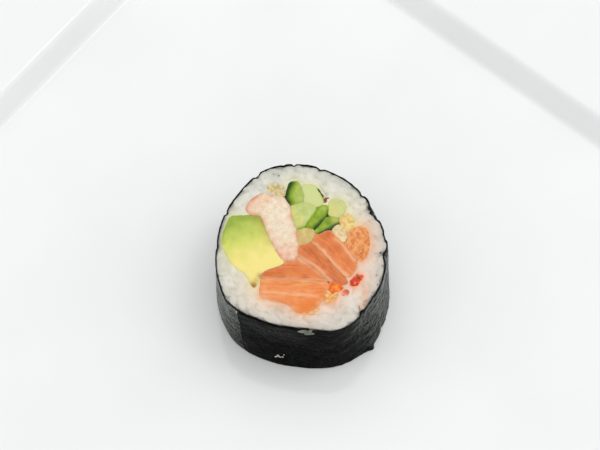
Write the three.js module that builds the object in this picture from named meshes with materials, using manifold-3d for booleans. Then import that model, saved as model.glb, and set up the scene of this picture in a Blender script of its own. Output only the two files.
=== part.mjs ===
// One slice of futomaki, the thick sushi roll, lying cut face up in the well of a square
// white porcelain plate. A nori sheet is wrapped once round a ring of vinegared rice and laps
// over itself by about 20 mm. Through the middle run avocado, a folded crab stick, cucumber
// batons, salmon, tempura flakes and fish roe, so each filling shows at both cut faces.
//
// Millimetres, +Z up. The origin is the middle of the plate's footprint, on the table. The
// plate's sides lie along X and Y. The slice is laid out in a frame of its own: its origin is
// the middle of the slice's underside, with its X turned SLICE_TURN from the plate's.
import * as THREE from "three";
import { mergeVertices } from "three/addons/utils/BufferGeometryUtils.js";
import Module from "manifold-3d";

// ---- Driving sizes of the plate ----
const PLATE_SIDE = 305;
const PLATE_CORNER = 18; // radius of the outer corners
const WELL_SIDE = 216; // flat floor of the well
const WELL_CORNER = 18;
const STEP_RUN = 9; // the step from the well up to the rim
const STEP_RISE = 6;
const RIM_LIFT = 2.5; // the rim climbs a little towards its edge
const WALL = 5.5; // thickness of the porcelain under the well
const RIM_WALL = 5;
const FOOT_SIDE = 200; // outside of the foot the plate stands on
const FOOT_WIDTH = 5;
const FOOT_HEIGHT = 3;
const DRAFT = 2; // how far the foot's flanks and the underside lean
const LIP = 1.5; // rounding of the outer edge
const CORNER_STEPS = 6; // facets round each corner
const STEP_ROWS = 6; // facets down the step
const PLATE_FLOOR = FOOT_HEIGHT + WALL; // height of the well's floor

// ---- Driving sizes of the slice ----
const SLICE_X = 0;
const SLICE_Y = 12; // the slice lies a little behind the plate's middle
const SLICE_TURN = THREE.MathUtils.degToRad(39.25);
const SLICE_HEIGHT = 26; // a 210 mm roll cut in eight
const NORI = 0.6; // thickness of the nori sheet
const GAP = 0.3; // clearance between pieces that touch
const SEAM = THREE.MathUtils.degToRad(232); // where the sheet's outer end shows
const LAP = THREE.MathUtils.degToRad(43); // how far the sheet laps over itself
const RING_MIDDLE_Y = 0.7; // the nori ring's middle, in the slice's frame
const RING_COLUMNS = 60;

// Radii of the nori's outside about the ring's middle, every 22.5 degrees from +X: the roll was
// pressed by hand into a rounded, slightly square oval, and its base spreads towards the front.
const FACE_RADII = [
  26.1, 25.4, 25.9, 26.6, 27.8, 28.2, 26.3, 25.6, 25.6, 27.2, 28.3, 26.2, 26.1, 29.3, 27.5, 27.0,
];
const BASE_RADII = [
  27.2, 26.2, 26.4, 27.0, 28.0, 28.3, 26.7, 26.0, 26.3, 27.4, 29.1, 28.5, 28.8, 31.0, 30.6, 28.9,
];
const NORI_TOP = SLICE_HEIGHT - 0.6; // mean height of the sheet's cut edge
const EDGE_WAVE = 0.35; // how far the cut edge rises and dips
const CREASE = 0.22; // depth of the upright creases in the sheet
// A corner of the sheet that sticks out at the base; `spread` is in radians.
const CORNER_TIP = { angle: THREE.MathUtils.degToRad(314), spread: 0.07, reach: 0.9, height: 5 };

// ---- Driving sizes of the rice ----
const GRAIN = { length: 5.6, width: 2.9, depth: 2.3, spacing: 3.65, seed: 11 };
const RICE_TOP = SLICE_HEIGHT - 0.7; // the rice between the grains of the cut face
const GRAIN_MIDDLE = SLICE_HEIGHT - 0.8; // height of the grains' middles
const GRAIN_CLEARANCE = 0.9; // from a grain's middle to a filling
const GRAIN_TRIES = 9000;

// ---- Fillings, in the slice's frame ----
// Each runs through the slice. Corners go anticlockwise or clockwise round its section and are
// rounded by `round`; `proud` is how far its cut end stands above or below SLICE_HEIGHT.
// A filling is cut back from those listed before it.
const FILLINGS = [
  {
    name: "surimi",
    colour: 0xf1dcc4,
    round: 2.4,
    proud: 0.3,
    corners: [
      [-17.0, 12.6], [-15.6, 16.0], [-11.2, 18.7], [-9.2, 17.2], [-5.8, 17.3], [-4.0, 14.4],
      [-2.3, 8.0], [-0.6, -0.4], [-1.4, -3.8], [-3.6, -4.6], [-6.0, -3.6], [-9.0, 2.0],
      [-11.6, 9.2], [-12.4, 11.4], [-14.4, 10.6],
    ],
  },
  {
    name: "avocado",
    colour: 0xd7dd6a,
    round: 1.6,
    proud: 0.1,
    corners: [
      [-21.6, 10.6], [-12.2, 10.6], [-7.4, -2.0], [-5.0, -5.2], [-11.9, -7.8], [-12.5, -10.4],
      [-13.8, -13.3], [-15.2, -12.0], [-15.6, -9.2], [-20.6, -5.4], [-23.6, 0.4], [-23.8, 4.0],
    ],
  },
  {
    name: "cucumber_1",
    colour: 0x8fb84a,
    round: 1.3,
    proud: 0.5,
    corners: [[-3.4, 22.2], [-0.8, 22.4], [1.0, 17.4], [0.5, 15.6], [-2.6, 14.5], [-4.3, 15.9], [-4.4, 18.6]],
  },
  {
    name: "cucumber_2",
    colour: 0xc3d98c,
    round: 1.2,
    proud: 0.0,
    corners: [[0.2, 21.2], [3.8, 21.3], [5.6, 19.4], [7.2, 15.2], [5.6, 14.0], [1.0, 15.6]],
  },
  {
    name: "cucumber_3",
    colour: 0xbdd768,
    round: 1.4,
    proud: 0.35,
    corners: [[-2.9, 14.0], [0.7, 15.2], [3.9, 14.2], [4.3, 12.5], [1.2, 7.6], [-0.9, 6.1], [-3.0, 10.4]],
  },
  {
    name: "cucumber_4",
    colour: 0x5f9a2e,
    round: 1.1,
    proud: 0.6,
    corners: [[1.4, 7.6], [6.1, 14.2], [8.3, 14.2], [8.1, 12.1], [4.3, 6.2]],
  },
  {
    name: "cucumber_5",
    colour: 0x5d9433,
    round: 0.9,
    proud: 0.2,
    corners: [[4.2, 5.4], [8.4, 10.2], [10.5, 10.4], [11.6, 9.0], [7.4, 5.9], [5.3, 4.5]],
  },
  {
    name: "cucumber_6",
    colour: 0xd3d993,
    round: 1.3,
    proud: -0.1,
    corners: [[8.5, 15.9], [11.2, 16.5], [13.8, 14.8], [13.6, 12.3], [11.4, 10.2], [8.7, 10.6]],
  },
  {
    name: "cucumber_7",
    colour: 0xc0cc7a,
    round: 1.2,
    proud: 0.0,
    corners: [[-1.6, 5.3], [1.0, 6.2], [3.8, 6.0], [3.9, 4.6], [2.2, 1.6], [-0.2, 1.1], [-1.6, 3.0]],
  },
  {
    name: "salmon_1",
    colour: 0xe0835c,
    round: 1.3,
    proud: 0.2,
    corners: [
      [4.0, 4.1], [6.2, 5.6], [9.0, 5.4], [16.4, -3.0], [16.9, -5.4], [15.2, -9.4], [13.2, -9.6],
      [3.6, 2.2],
    ],
  },
  {
    name: "salmon_2",
    colour: 0xe38a60,
    round: 1.2,
    proud: 0.3,
    corners: [[-0.7, 0.3], [1.2, 1.5], [3.6, 1.8], [14.4, -11.6], [12.0, -12.1], [8.9, -11.2], [-0.8, -2.6]],
  },
  {
    name: "salmon_3",
    colour: 0xe8854c,
    round: 0.9,
    proud: 0.1,
    corners: [[-5.2, -5.6], [-0.8, -2.9], [8.4, -11.0], [-12.3, -9.9], [-12.1, -8.0]],
  },
  {
    name: "salmon_4",
    colour: 0xea8650,
    round: 1.2,
    proud: 0.25,
    corners: [
      [-12.2, -10.3], [7.0, -10.5], [8.2, -12.0], [6.8, -16.6], [4.4, -19.6], [1.4, -21.6],
      [-1.4, -20.9], [-3.4, -18.6], [-12.2, -15.9],
    ],
  },
  {
    name: "tempura_flakes_1",
    colour: 0xe7bb58,
    round: 1.2,
    proud: 0.2,
    crumb: 1.25,
    corners: [[11.8, 10.1], [14.0, 11.9], [16.2, 9.7], [16.6, 7.3], [14.6, 5.7], [12.6, 7.1]],
  },
  {
    name: "tempura_flakes_2",
    colour: 0xe9c183,
    round: 1.2,
    proud: 0.0,
    crumb: 1.2,
    corners: [[9.5, 5.8], [11.4, 7.7], [13.6, 5.7], [13.9, 3.2], [12.0, 1.8]],
  },
  {
    name: "tempura_flakes_3",
    colour: 0xf2ac55,
    round: 1.1,
    proud: 0.1,
    crumb: 1.1,
    corners: [[7.2, -15.2], [9.5, -14.4], [11.2, -14.9], [10.2, -16.9], [8.4, -18.2], [7.0, -17.4]],
  },
  {
    name: "tempura_flakes_4",
    colour: 0xd9c78f,
    round: 1.4,
    proud: -0.2,
    crumb: 1.3,
    corners: [[-10.8, 20.6], [-8.4, 22.1], [-4.9, 21.0], [-4.6, 17.6], [-9.2, 18.0]],
  },
  {
    name: "roe_1",
    colour: 0xe98a3c,
    round: 1.6,
    proud: 0.0,
    crumb: 0.95,
    corners: [
      [14.9, 5.4], [16.9, 6.9], [18.9, 7.2], [20.6, 4.6], [20.6, 0.6], [19.8, -2.6], [18.3, -4.6],
      [16.8, -3.6], [13.9, 0.8],
    ],
  },
  {
    name: "roe_2",
    colour: 0xf0701c,
    round: 0.9,
    proud: 0.1,
    crumb: 0.8,
    corners: [[8.6, -11.9], [10.4, -11.6], [12.2, -12.6], [12.0, -14.1], [9.6, -14.2], [8.4, -13.6]],
  },
  {
    name: "roe_3",
    colour: 0xd3231b,
    round: 0.8,
    proud: 0.25,
    crumb: 0.85,
    corners: [[14.6, -11.2], [16.4, -8.9], [18.2, -8.7], [18.4, -10.3], [16.8, -12.4], [15.2, -12.6]],
  },
  {
    name: "roe_4",
    colour: 0xe0484a,
    round: 0.6,
    proud: 0.1,
    crumb: 0.7,
    corners: [[12.5, -14.6], [13.2, -13.6], [14.4, -13.9], [14.2, -15.3], [13.1, -15.7]],
  },
];
const CUT_BEVEL = 0.5; // softened edge of a filling's cut end
const ROUND_STEPS = 3; // facets round each corner of a filling
const HEAP = { spacing: 1.7, inset: 0.55, tries: 400, seed: 5 }; // lengths are in crumb radii

// ---- Geometry helpers ----
const wasm = await Module();
wasm.setup();

// A repeatable stream of numbers from 0 to 1.
function randomStream(seed) {
  let state = seed >>> 0;
  return () => {
    state = (state + 0x6d2b79f5) >>> 0;
    let t = Math.imul(state ^ (state >>> 15), 1 | state);
    t = (t + Math.imul(t ^ (t >>> 7), 61 | t)) ^ t;
    return ((t ^ (t >>> 14)) >>> 0) / 4294967296;
  };
}

function geometryOf(vertices, triangles) {
  const geometry = new THREE.BufferGeometry();
  geometry.setAttribute("position", new THREE.Float32BufferAttribute(vertices.flat(), 3));
  geometry.setIndex(triangles.flat());
  return geometry;
}

function solidOf(geometry) {
  const bare = new THREE.BufferGeometry();
  bare.setAttribute("position", geometry.getAttribute("position"));
  bare.setIndex(geometry.index ?? [...Array(geometry.attributes.position.count).keys()]);
  const merged = mergeVertices(bare, 1e-4);
  const mesh = new wasm.Mesh({
    numProp: 3,
    vertProperties: new Float32Array(merged.attributes.position.array),
    triVerts: new Uint32Array(merged.index.array),
  });
  return new wasm.Manifold(mesh);
}

// The largest body of a solid, as a geometry: scraps that a cut left behind are dropped.
function mainBody(solid) {
  const bodies = solid.decompose().sort((a, b) => b.volume() - a.volume());
  const { vertProperties, triVerts } = bodies[0].getMesh();
  const geometry = new THREE.BufferGeometry();
  geometry.setAttribute("position", new THREE.BufferAttribute(vertProperties, 3));
  geometry.setIndex(new THREE.BufferAttribute(triVerts, 1));
  return geometry;
}

// A closed skin over rings of equal length, the first at the bottom, each anticlockwise seen
// from above.
function skinOver(rings) {
  const n = rings[0].length;
  const vertices = rings.flat();
  const triangles = [];
  for (let level = 0; level < rings.length - 1; level++) {
    for (let i = 0; i < n; i++) {
      const a = level * n + i;
      const b = level * n + ((i + 1) % n);
      triangles.push([a, b, b + n], [a, b + n, a + n]);
    }
  }
  const last = (rings.length - 1) * n;
  for (const [a, b, c] of capTriangles(rings[0])) triangles.push([a, c, b]);
  for (const [a, b, c] of capTriangles(rings.at(-1))) triangles.push([last + a, last + b, last + c]);
  return geometryOf(vertices, triangles);
}

function capTriangles(ring) {
  return THREE.ShapeUtils.triangulateShape(ring.map(([x, y]) => new THREE.Vector2(x, y)), []);
}

// ---- Outlines ----
// A filling's corners, anticlockwise, each edge moved outwards by `offset`.
function movedCorners({ corners }, offset) {
  const points = corners.map(([x, y]) => new THREE.Vector2(x, y));
  if (THREE.ShapeUtils.isClockWise(points)) points.reverse();
  const outwards = (from, to) => new THREE.Vector2(to.y - from.y, from.x - to.x).normalize();
  return points.map((point, i) => {
    const before = outwards(points.at(i - 1), point);
    const after = outwards(point, points[(i + 1) % points.length]);
    const reach = offset / Math.max(0.5, 1 + before.dot(after));
    return before.add(after).multiplyScalar(reach).add(point);
  });
}

// A filling's section, `offset` larger all round, with each corner rounded off.
function outlineOf(filling, offset = 0) {
  const points = movedCorners(filling, offset);
  return points.flatMap((corner, i) => {
    const before = points.at(i - 1);
    const after = points[(i + 1) % points.length];
    const round = filling.round + offset;
    const back = Math.min(round / corner.distanceTo(before), 0.46);
    const on = Math.min(round / corner.distanceTo(after), 0.46);
    const start = corner.clone().lerp(before, back);
    const end = corner.clone().lerp(after, on);
    return new THREE.QuadraticBezierCurve(start, corner, end).getPoints(ROUND_STEPS);
  });
}

function ringAt(outline, z) {
  return outline.map(({ x, y }) => [x, y, z]);
}

function isInside(outline, x, y) {
  let inside = false;
  outline.forEach((a, i) => {
    const b = outline.at(i - 1);
    if (a.y > y !== b.y > y && x < a.x + ((y - a.y) * (b.x - a.x)) / (b.y - a.y)) inside = !inside;
  });
  return inside;
}

// ---- Plate ----
// A square ring with round corners, of half-side `half`, at height `z`.
function squareRing(half, corner, z) {
  const ring = [];
  for (let quarter = 0; quarter < 4; quarter++) {
    const turn = (quarter * Math.PI) / 2;
    const middle = new THREE.Vector2(half - corner, half - corner).rotateAround(new THREE.Vector2(), turn);
    for (let i = 0; i <= CORNER_STEPS; i++) {
      const angle = turn + (i / CORNER_STEPS) * (Math.PI / 2);
      ring.push([middle.x + corner * Math.cos(angle), middle.y + corner * Math.sin(angle), z]);
    }
  }
  return ring;
}

// The porcelain, as rings from the underside's middle, out round the edge and in over the well.
function plateGeometry() {
  const well = WELL_SIDE / 2;
  const shoulder = well + STEP_RUN;
  const edge = PLATE_SIDE / 2;
  const foot = FOOT_SIDE / 2;
  const rimTop = PLATE_FLOOR + STEP_RISE;
  const edgeTop = rimTop + RIM_LIFT;
  const wellCorner = (half) => Math.max(4, WELL_CORNER + half - well);
  const rimCorner = (half) => {
    const share = (half - shoulder) / (edge - shoulder);
    return THREE.MathUtils.lerp(wellCorner(shoulder), PLATE_CORNER, share);
  };
  const atWell = (half, z) => squareRing(half, wellCorner(half), z);
  const atRim = (half, z) => squareRing(half, rimCorner(half), z);
  const rings = [
    atWell(foot - FOOT_WIDTH - DRAFT, FOOT_HEIGHT),
    atWell(foot - FOOT_WIDTH, 0),
    atWell(foot, 0),
    atWell(foot + DRAFT, FOOT_HEIGHT),
    atWell(well + DRAFT, FOOT_HEIGHT + LIP / 2),
    atRim(shoulder + DRAFT, rimTop - RIM_WALL),
    atRim(edge - LIP, edgeTop - RIM_WALL + LIP / 2),
    atRim(edge, edgeTop - RIM_WALL + 2 * LIP),
    atRim(edge, edgeTop - LIP),
    atRim(edge - LIP / 3, edgeTop - LIP / 3),
    atRim(edge - LIP, edgeTop),
    atRim(shoulder + DRAFT, rimTop),
  ];
  // Down the step, whose foot and shoulder are rounded by a cosine.
  for (let i = 0; i <= STEP_ROWS; i++) {
    const share = i / STEP_ROWS;
    const height = (STEP_RISE * (1 + Math.cos(share * Math.PI))) / 2;
    rings.push(atWell(shoulder - share * STEP_RUN, PLATE_FLOOR + height));
  }
  return skinOver(rings);
}

// ---- Roll ----
// A smooth value round the circle, through equally spaced `values`.
function smoothRound(values, angle) {
  const n = values.length;
  const place = ((((angle / (2 * Math.PI)) * n) % n) + n) % n;
  const i = Math.floor(place);
  const t = place - i;
  const [a, b, c, d] = [-1, 0, 1, 2].map((k) => values[(i + k + n) % n]);
  return b + 0.5 * t * (c - a + t * (2 * a - 5 * b + 4 * c - d + t * (3 * (b - c) + d - a)));
}

// How far from the ring's middle the nori's outside lies, at an angle and height.
function rollRadius(angle, z) {
  const share = THREE.MathUtils.clamp(z / SLICE_HEIGHT, 0, 1);
  const spread = (1 - share) ** 1.3;
  const crease = CREASE * Math.sin(9 * angle + 1) * Math.sin(Math.PI * share);
  const { reach, spread: width, height } = CORNER_TIP;
  const offTip = (angle - CORNER_TIP.angle) / width;
  const tip = reach * Math.exp(-(offTip ** 2)) * Math.max(0, 1 - z / height);
  const oval = THREE.MathUtils.lerp(smoothRound(FACE_RADII, angle), smoothRound(BASE_RADII, angle), spread);
  return oval + crease + tip;
}

function ringPoint(angle, radius, z) {
  return [radius * Math.cos(angle), RING_MIDDLE_Y + radius * Math.sin(angle), z];
}

// How far the outer layer stands out where the sheet laps over itself: a step up at the seam,
// and a soft fall where the hidden inner end lies.
function lapStep(angle) {
  const past = THREE.MathUtils.euclideanModulo(angle - SEAM, 2 * Math.PI);
  if (past > LAP) return 0;
  return NORI * Math.min(1, (LAP - past) / (0.2 * LAP));
}

function edgeHeight(angle) {
  const wave = 0.6 * Math.sin(7 * angle + 0.6) + 0.4 * Math.sin(13 * angle + 2.1);
  return NORI_TOP + EDGE_WAVE * wave;
}

function noriGeometry() {
  const angles = [];
  for (let i = 0; i < RING_COLUMNS; i++) angles.push((i / RING_COLUMNS) * 2 * Math.PI);
  angles.push(SEAM - 0.004, SEAM + 0.004);
  angles.sort((a, b) => a - b);
  const shares = [0, 0.2, 0.45, 0.7, 0.9, 1];
  const ringOf = (share, radiusOf) =>
    angles.map((angle) => {
      const z = share * edgeHeight(angle);
      return ringPoint(angle, radiusOf(angle, z), z);
    });
  const outer = shares.map((share) => ringOf(share, (angle, z) => rollRadius(angle, z) + lapStep(angle)));
  const inner = shares.map((share) => ringOf(share, (angle, z) => rollRadius(angle, z) - NORI));
  // Up the outside, over the cut edge and down the inside, closed at the bottom.
  const rings = [...outer, ...inner.reverse()];
  const n = angles.length;
  const triangles = [];
  rings.forEach((_, level) => {
    const next = (level + 1) % rings.length;
    for (let i = 0; i < n; i++) {
      const j = (i + 1) % n;
      triangles.push(
        [level * n + i, level * n + j, next * n + j],
        [level * n + i, next * n + j, next * n + i],
      );
    }
  });
  return geometryOf(rings.flat(), triangles);
}

// The space inside the nori, `clearance` away from it, up to height `top`.
function insideOfRoll(clearance, bottom, top) {
  const rows = 4;
  const rings = [];
  for (let row = 0; row <= rows; row++) {
    const z = bottom + ((top - bottom) * row) / rows;
    rings.push(
      Array.from({ length: RING_COLUMNS }, (_, i) => {
        const angle = (i / RING_COLUMNS) * 2 * Math.PI;
        return ringPoint(angle, rollRadius(angle, z) - NORI - clearance, z);
      }),
    );
  }
  return solidOf(skinOver(rings));
}

// ---- Fillings ----
// A stick of the filling's section, whose cut end has softened edges.
function stickSolid(filling, top) {
  const rings = [
    ringAt(outlineOf(filling), 0),
    ringAt(outlineOf(filling), top - CUT_BEVEL),
    ringAt(outlineOf(filling, -CUT_BEVEL), top),
  ];
  return solidOf(skinOver(rings));
}

// A filling's section, `offset` larger all round, drawn out well past both cut faces.
function roomSolid(filling, offset) {
  const outline = outlineOf(filling, offset);
  return solidOf(skinOver([ringAt(outline, -2), ringAt(outline, SLICE_HEIGHT + 4)]));
}

// Crumbs or eggs of radius `crumb` heaped on a filling's cut end, packed by a seeded rule.
function heapSolid(filling, top) {
  const { crumb } = filling;
  const random = randomStream(HEAP.seed + filling.corners.length);
  const core = outlineOf(filling, -HEAP.inset * crumb);
  const box = new THREE.Box2().setFromPoints(core);
  const placed = [];
  let heap = stickSolid(filling, top - 0.5 * crumb);
  for (let attempt = 0; attempt < HEAP.tries; attempt++) {
    const x = THREE.MathUtils.lerp(box.min.x, box.max.x, random());
    const y = THREE.MathUtils.lerp(box.min.y, box.max.y, random());
    const spaced = placed.every(([u, v]) => Math.hypot(x - u, y - v) > HEAP.spacing * crumb);
    if (!spaced || !isInside(core, x, y)) continue;
    placed.push([x, y]);
    const lump = new THREE.IcosahedronGeometry(crumb * (0.85 + 0.3 * random()), 0);
    lump.rotateX(random() * 3).rotateZ(random() * 3);
    lump.translate(x, y, top - 0.75 * crumb + 0.3 * random());
    heap = heap.add(solidOf(lump));
  }
  return heap.intersect(roomSolid(filling, 0));
}

function fillingSolids(rooms) {
  return FILLINGS.map((filling, order) => {
    const top = SLICE_HEIGHT + filling.proud;
    let solid = filling.crumb ? heapSolid(filling, top) : stickSolid(filling, top);
    for (const room of rooms.slice(0, order)) solid = solid.subtract(room);
    return solid;
  });
}

// ---- Rice ----
// Grain middles spread evenly over the cut face, clear of the fillings.
function grainPlaces(random) {
  const places = [];
  const keepOut = FILLINGS.map((filling) => outlineOf(filling, GRAIN_CLEARANCE));
  for (let attempt = 0; attempt < GRAIN_TRIES; attempt++) {
    const angle = random() * 2 * Math.PI;
    const reach = rollRadius(angle, SLICE_HEIGHT) - NORI - GAP - GRAIN.width / 2;
    const radius = reach * Math.sqrt(random());
    const [x, y] = ringPoint(angle, radius, 0);
    if (keepOut.some((outline) => isInside(outline, x, y))) continue;
    if (places.some((place) => Math.hypot(x - place.x, y - place.y) < GRAIN.spacing)) continue;
    // Near the nori a grain lies along it; elsewhere it lies any way.
    const turn = radius > reach - 1.5 ? angle + Math.PI / 2 + 0.5 * (random() - 0.5) : random() * Math.PI;
    places.push({ x, y, turn });
  }
  return places;
}

function riceSolid(rooms) {
  const random = randomStream(GRAIN.seed);
  let rice = insideOfRoll(GAP, 0, RICE_TOP);
  for (const { x, y, turn } of grainPlaces(random)) {
    const grain = new THREE.OctahedronGeometry(1, 1);
    grain.scale(GRAIN.length / 2, GRAIN.width / 2, GRAIN.depth / 2);
    grain.rotateY(0.3 * (random() - 0.5)).rotateZ(turn);
    grain.translate(x, y, GRAIN_MIDDLE + 0.5 * (random() - 0.5));
    rice = rice.add(solidOf(grain));
  }
  rice = rice.intersect(insideOfRoll(GAP, 0, SLICE_HEIGHT + 3));
  for (const room of rooms) rice = rice.subtract(room);
  return rice;
}

// ---- The part ----
function piece(name, geometry, colour, roughness) {
  const material = new THREE.MeshStandardMaterial({ color: colour, roughness, metalness: 0 });
  const mesh = new THREE.Mesh(geometry, material);
  mesh.name = name;
  return mesh;
}

const rooms = FILLINGS.map((filling) => roomSolid(filling, GAP));
const slice = new THREE.Group();
slice.position.set(SLICE_X, SLICE_Y, PLATE_FLOOR + GAP);
slice.rotation.z = SLICE_TURN;
slice.add(piece("nori", noriGeometry(), 0x1b1d1c, 0.55));
slice.add(piece("rice", mainBody(riceSolid(rooms)), 0xecebe6, 0.6));
fillingSolids(rooms).forEach((solid, i) => {
  slice.add(piece(FILLINGS[i].name, mainBody(solid), FILLINGS[i].colour, 0.45));
});

const part = new THREE.Group();
part.add(piece("plate", plateGeometry(), 0xf4f6f5, 0.12));
part.add(slice);

export default part;
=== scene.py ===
"""The finished look of one futomaki slice on its square white plate.

Lengths in the classes below are millimetres in the slice's own axes, unless a name says
otherwise: the origin is the middle of the slice's underside and X is to the right in the
photograph. `Placement` turns them into the row frame's metres. Each filling takes its section
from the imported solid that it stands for, so the layout is given once, by the part itself.
"""

from __future__ import annotations

import logging
import math
from dataclasses import dataclass
from enum import Enum
from functools import lru_cache

import bmesh
import bpy
import numpy as np
from mathutils import Euler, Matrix, Vector, geometry, noise


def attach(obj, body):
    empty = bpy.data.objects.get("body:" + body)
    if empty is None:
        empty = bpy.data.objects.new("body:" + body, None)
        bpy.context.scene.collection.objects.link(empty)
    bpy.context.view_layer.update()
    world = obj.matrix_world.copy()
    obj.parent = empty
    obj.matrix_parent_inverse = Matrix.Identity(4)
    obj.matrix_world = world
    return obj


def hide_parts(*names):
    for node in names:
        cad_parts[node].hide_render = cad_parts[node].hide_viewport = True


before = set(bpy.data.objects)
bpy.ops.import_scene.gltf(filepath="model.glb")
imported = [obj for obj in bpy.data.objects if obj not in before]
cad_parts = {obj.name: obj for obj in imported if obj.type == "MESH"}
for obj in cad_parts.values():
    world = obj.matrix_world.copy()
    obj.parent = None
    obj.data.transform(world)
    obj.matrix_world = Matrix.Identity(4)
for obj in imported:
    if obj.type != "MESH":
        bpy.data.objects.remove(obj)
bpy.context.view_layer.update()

MM = 0.001
FACE = 26.0  # height of the cut face over the slice's underside, in millimetres
ROOT = "root"  # the one body, which every piece belongs to
log = logging.getLogger("futomaki")

Line = tuple[tuple[float, float], ...]  # places along a line on the cut face
Spots = tuple[tuple[float, float, float, float], ...]  # each spot's x, y, radius and strength
Bumps = tuple[tuple[float, float, float], ...]  # each bump's angle, half width and reach


# ---------------------------------------------------------------- places and shapes


def cos_sin(degrees: float) -> tuple[float, float]:
    """Gives an angle's cosine and sine."""
    return math.cos(math.radians(degrees)), math.sin(math.radians(degrees))


@dataclass(frozen=True)
class Placement:
    """Where the slice's own axes lie in the row frame.

    Attributes:
        x: Slice origin along the plate's X, in millimetres.
        y: Slice origin along the plate's Y, in millimetres.
        base: Height of the slice's underside over the table, in millimetres.
        turn: Angle from the plate's X to the slice's X, in degrees.
    """

    x: float = 0.0
    y: float = 12.0
    base: float = 8.8
    turn: float = 39.25

    def to_row(self, points: np.ndarray) -> np.ndarray:
        """Turns slice millimetres into row metres.

        Args:
            points: One point a row, as x, y, z.

        Returns:
            The same points in the row frame, in metres.
        """
        c, s = cos_sin(self.turn)
        x, y, z = np.asarray(points, float).T
        return np.stack([self.x + c * x - s * y, self.y + s * x + c * y, self.base + z], 1) * MM

    def from_row(self, points: np.ndarray) -> np.ndarray:
        """Turns row metres into slice millimetres.

        Args:
            points: One point a row, as x, y, z.

        Returns:
            The same points in the slice's axes, in millimetres.
        """
        c, s = cos_sin(self.turn)
        x, y, z = (np.asarray(points, float) / MM - (self.x, self.y, self.base)).T
        return np.stack([c * x + s * y, -s * x + c * y, z], 1)


PLACE = Placement()
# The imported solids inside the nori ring.
INSIDE = ("rice", *(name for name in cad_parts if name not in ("plate", "nori", "rice")))


def points_of(thing: bpy.types.Object) -> np.ndarray:
    """Reads a mesh object's vertices in slice millimetres, one a row."""
    return PLACE.from_row(np.array([v.co for v in thing.data.vertices]))


@lru_cache(maxsize=None)
def section_of(node: str) -> list[np.ndarray]:
    """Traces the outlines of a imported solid's underside.

    Args:
        node: The solid's name.

    Returns:
        Closed outlines in slice millimetres, the widest first and all anticlockwise.
    """
    shell = bmesh.new()
    shell.from_mesh(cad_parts[node].data)
    bmesh.ops.remove_doubles(shell, verts=shell.verts, dist=1e-6)
    low = min(v.co.z for v in shell.verts) + 1e-5
    under = {f for f in shell.faces if all(v.co.z < low for v in f.verts)}
    after = {}
    for face in under:
        for loop in face.loops:
            if not all(f in under for f in loop.edge.link_faces):
                after[loop.vert] = loop.link_loop_next.vert
    outlines = []
    while after:
        start, step = after.popitem()
        chain = [start]
        while step is not start:
            chain.append(step)
            step = after.pop(step)
        outlines.append(PLACE.from_row(np.array([v.co for v in chain]))[:, :2])
    shell.free()
    outlines.sort(key=lambda line: -abs(area_of(line)))
    outlines = [line if area_of(line) > 0 else line[::-1] for line in outlines]
    # Each starts at its far left, so that every run gives the same meshes.
    return [np.roll(line, -int(np.argmin(line @ (1.0, 0.4))), 0) for line in outlines]


def area_of(outline: np.ndarray) -> float:
    """Returns a closed outline's area, which is negative where it runs clockwise."""
    (x, y), (u, v) = outline.T, np.roll(outline, -1, 0).T
    return float((x * v - u * y).sum() / 2)


def even_outline(outline: np.ndarray, spacing: float, passes: int = 2) -> np.ndarray:
    """Rounds a closed outline off and spaces its points evenly.

    Args:
        outline: The closed outline.
        spacing: Distance wanted between points.
        passes: How many times its corners are cut.

    Returns:
        The new closed outline.
    """
    for _ in range(passes):
        after = np.roll(outline, -1, 0)
        outline = np.stack([0.75 * outline + 0.25 * after, 0.25 * outline + 0.75 * after], 1)
        outline = outline.reshape(-1, 2)
    ends = np.vstack([outline, outline[:1]])
    along = np.r_[0, np.cumsum(np.linalg.norm(np.diff(ends, axis=0), axis=1))]
    places = np.linspace(0, along[-1], max(8, int(along[-1] / spacing)), endpoint=False)
    return np.stack([np.interp(places, along, ends[:, k]) for k in (0, 1)], 1)


def grown(outline: np.ndarray, amount: np.ndarray | float) -> np.ndarray:
    """Moves an anticlockwise outline outwards.

    Args:
        outline: The closed outline.
        amount: How far, for all points or for each; negative moves inwards.

    Returns:
        The moved outline.
    """
    along = np.roll(outline, -1, 0) - np.roll(outline, 1, 0)
    along /= np.linalg.norm(along, axis=1)[:, None]
    out = np.stack([along[:, 1], -along[:, 0]], 1)
    return outline + out * np.reshape(amount, (-1, 1))


def pressed(line: np.ndarray, node: str, most: float = 0.6) -> np.ndarray:
    """Grows a section until it meets its neighbours halfway.

    Args:
        line: The section's outline.
        node: The solid that the section belongs to.
        most: The most that it may grow.

    Returns:
        The grown outline, which just overlaps its neighbours.
    """
    others = [hull for name in INSIDE if name != node for hull in section_of(name)]
    gap = np.min([gap_to(hull, line) for hull in others], axis=0)
    return grown(line, np.clip(gap / 2, 0, most) + 0.1)


def is_inside(outline: np.ndarray, points: np.ndarray) -> np.ndarray:
    """Tells which points lie inside a closed outline.

    Args:
        outline: The closed outline.
        points: The points, one a row.

    Returns:
        One truth value a point.
    """
    x, y = points[:, 0], points[:, 1]
    inside = np.zeros(len(points), bool)
    for (ax, ay), (bx, by) in zip(outline, np.roll(outline, -1, 0)):
        if ay != by:
            inside ^= ((ay > y) != (by > y)) & (x < ax + (y - ay) * (bx - ax) / (by - ay))
    return inside


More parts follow.
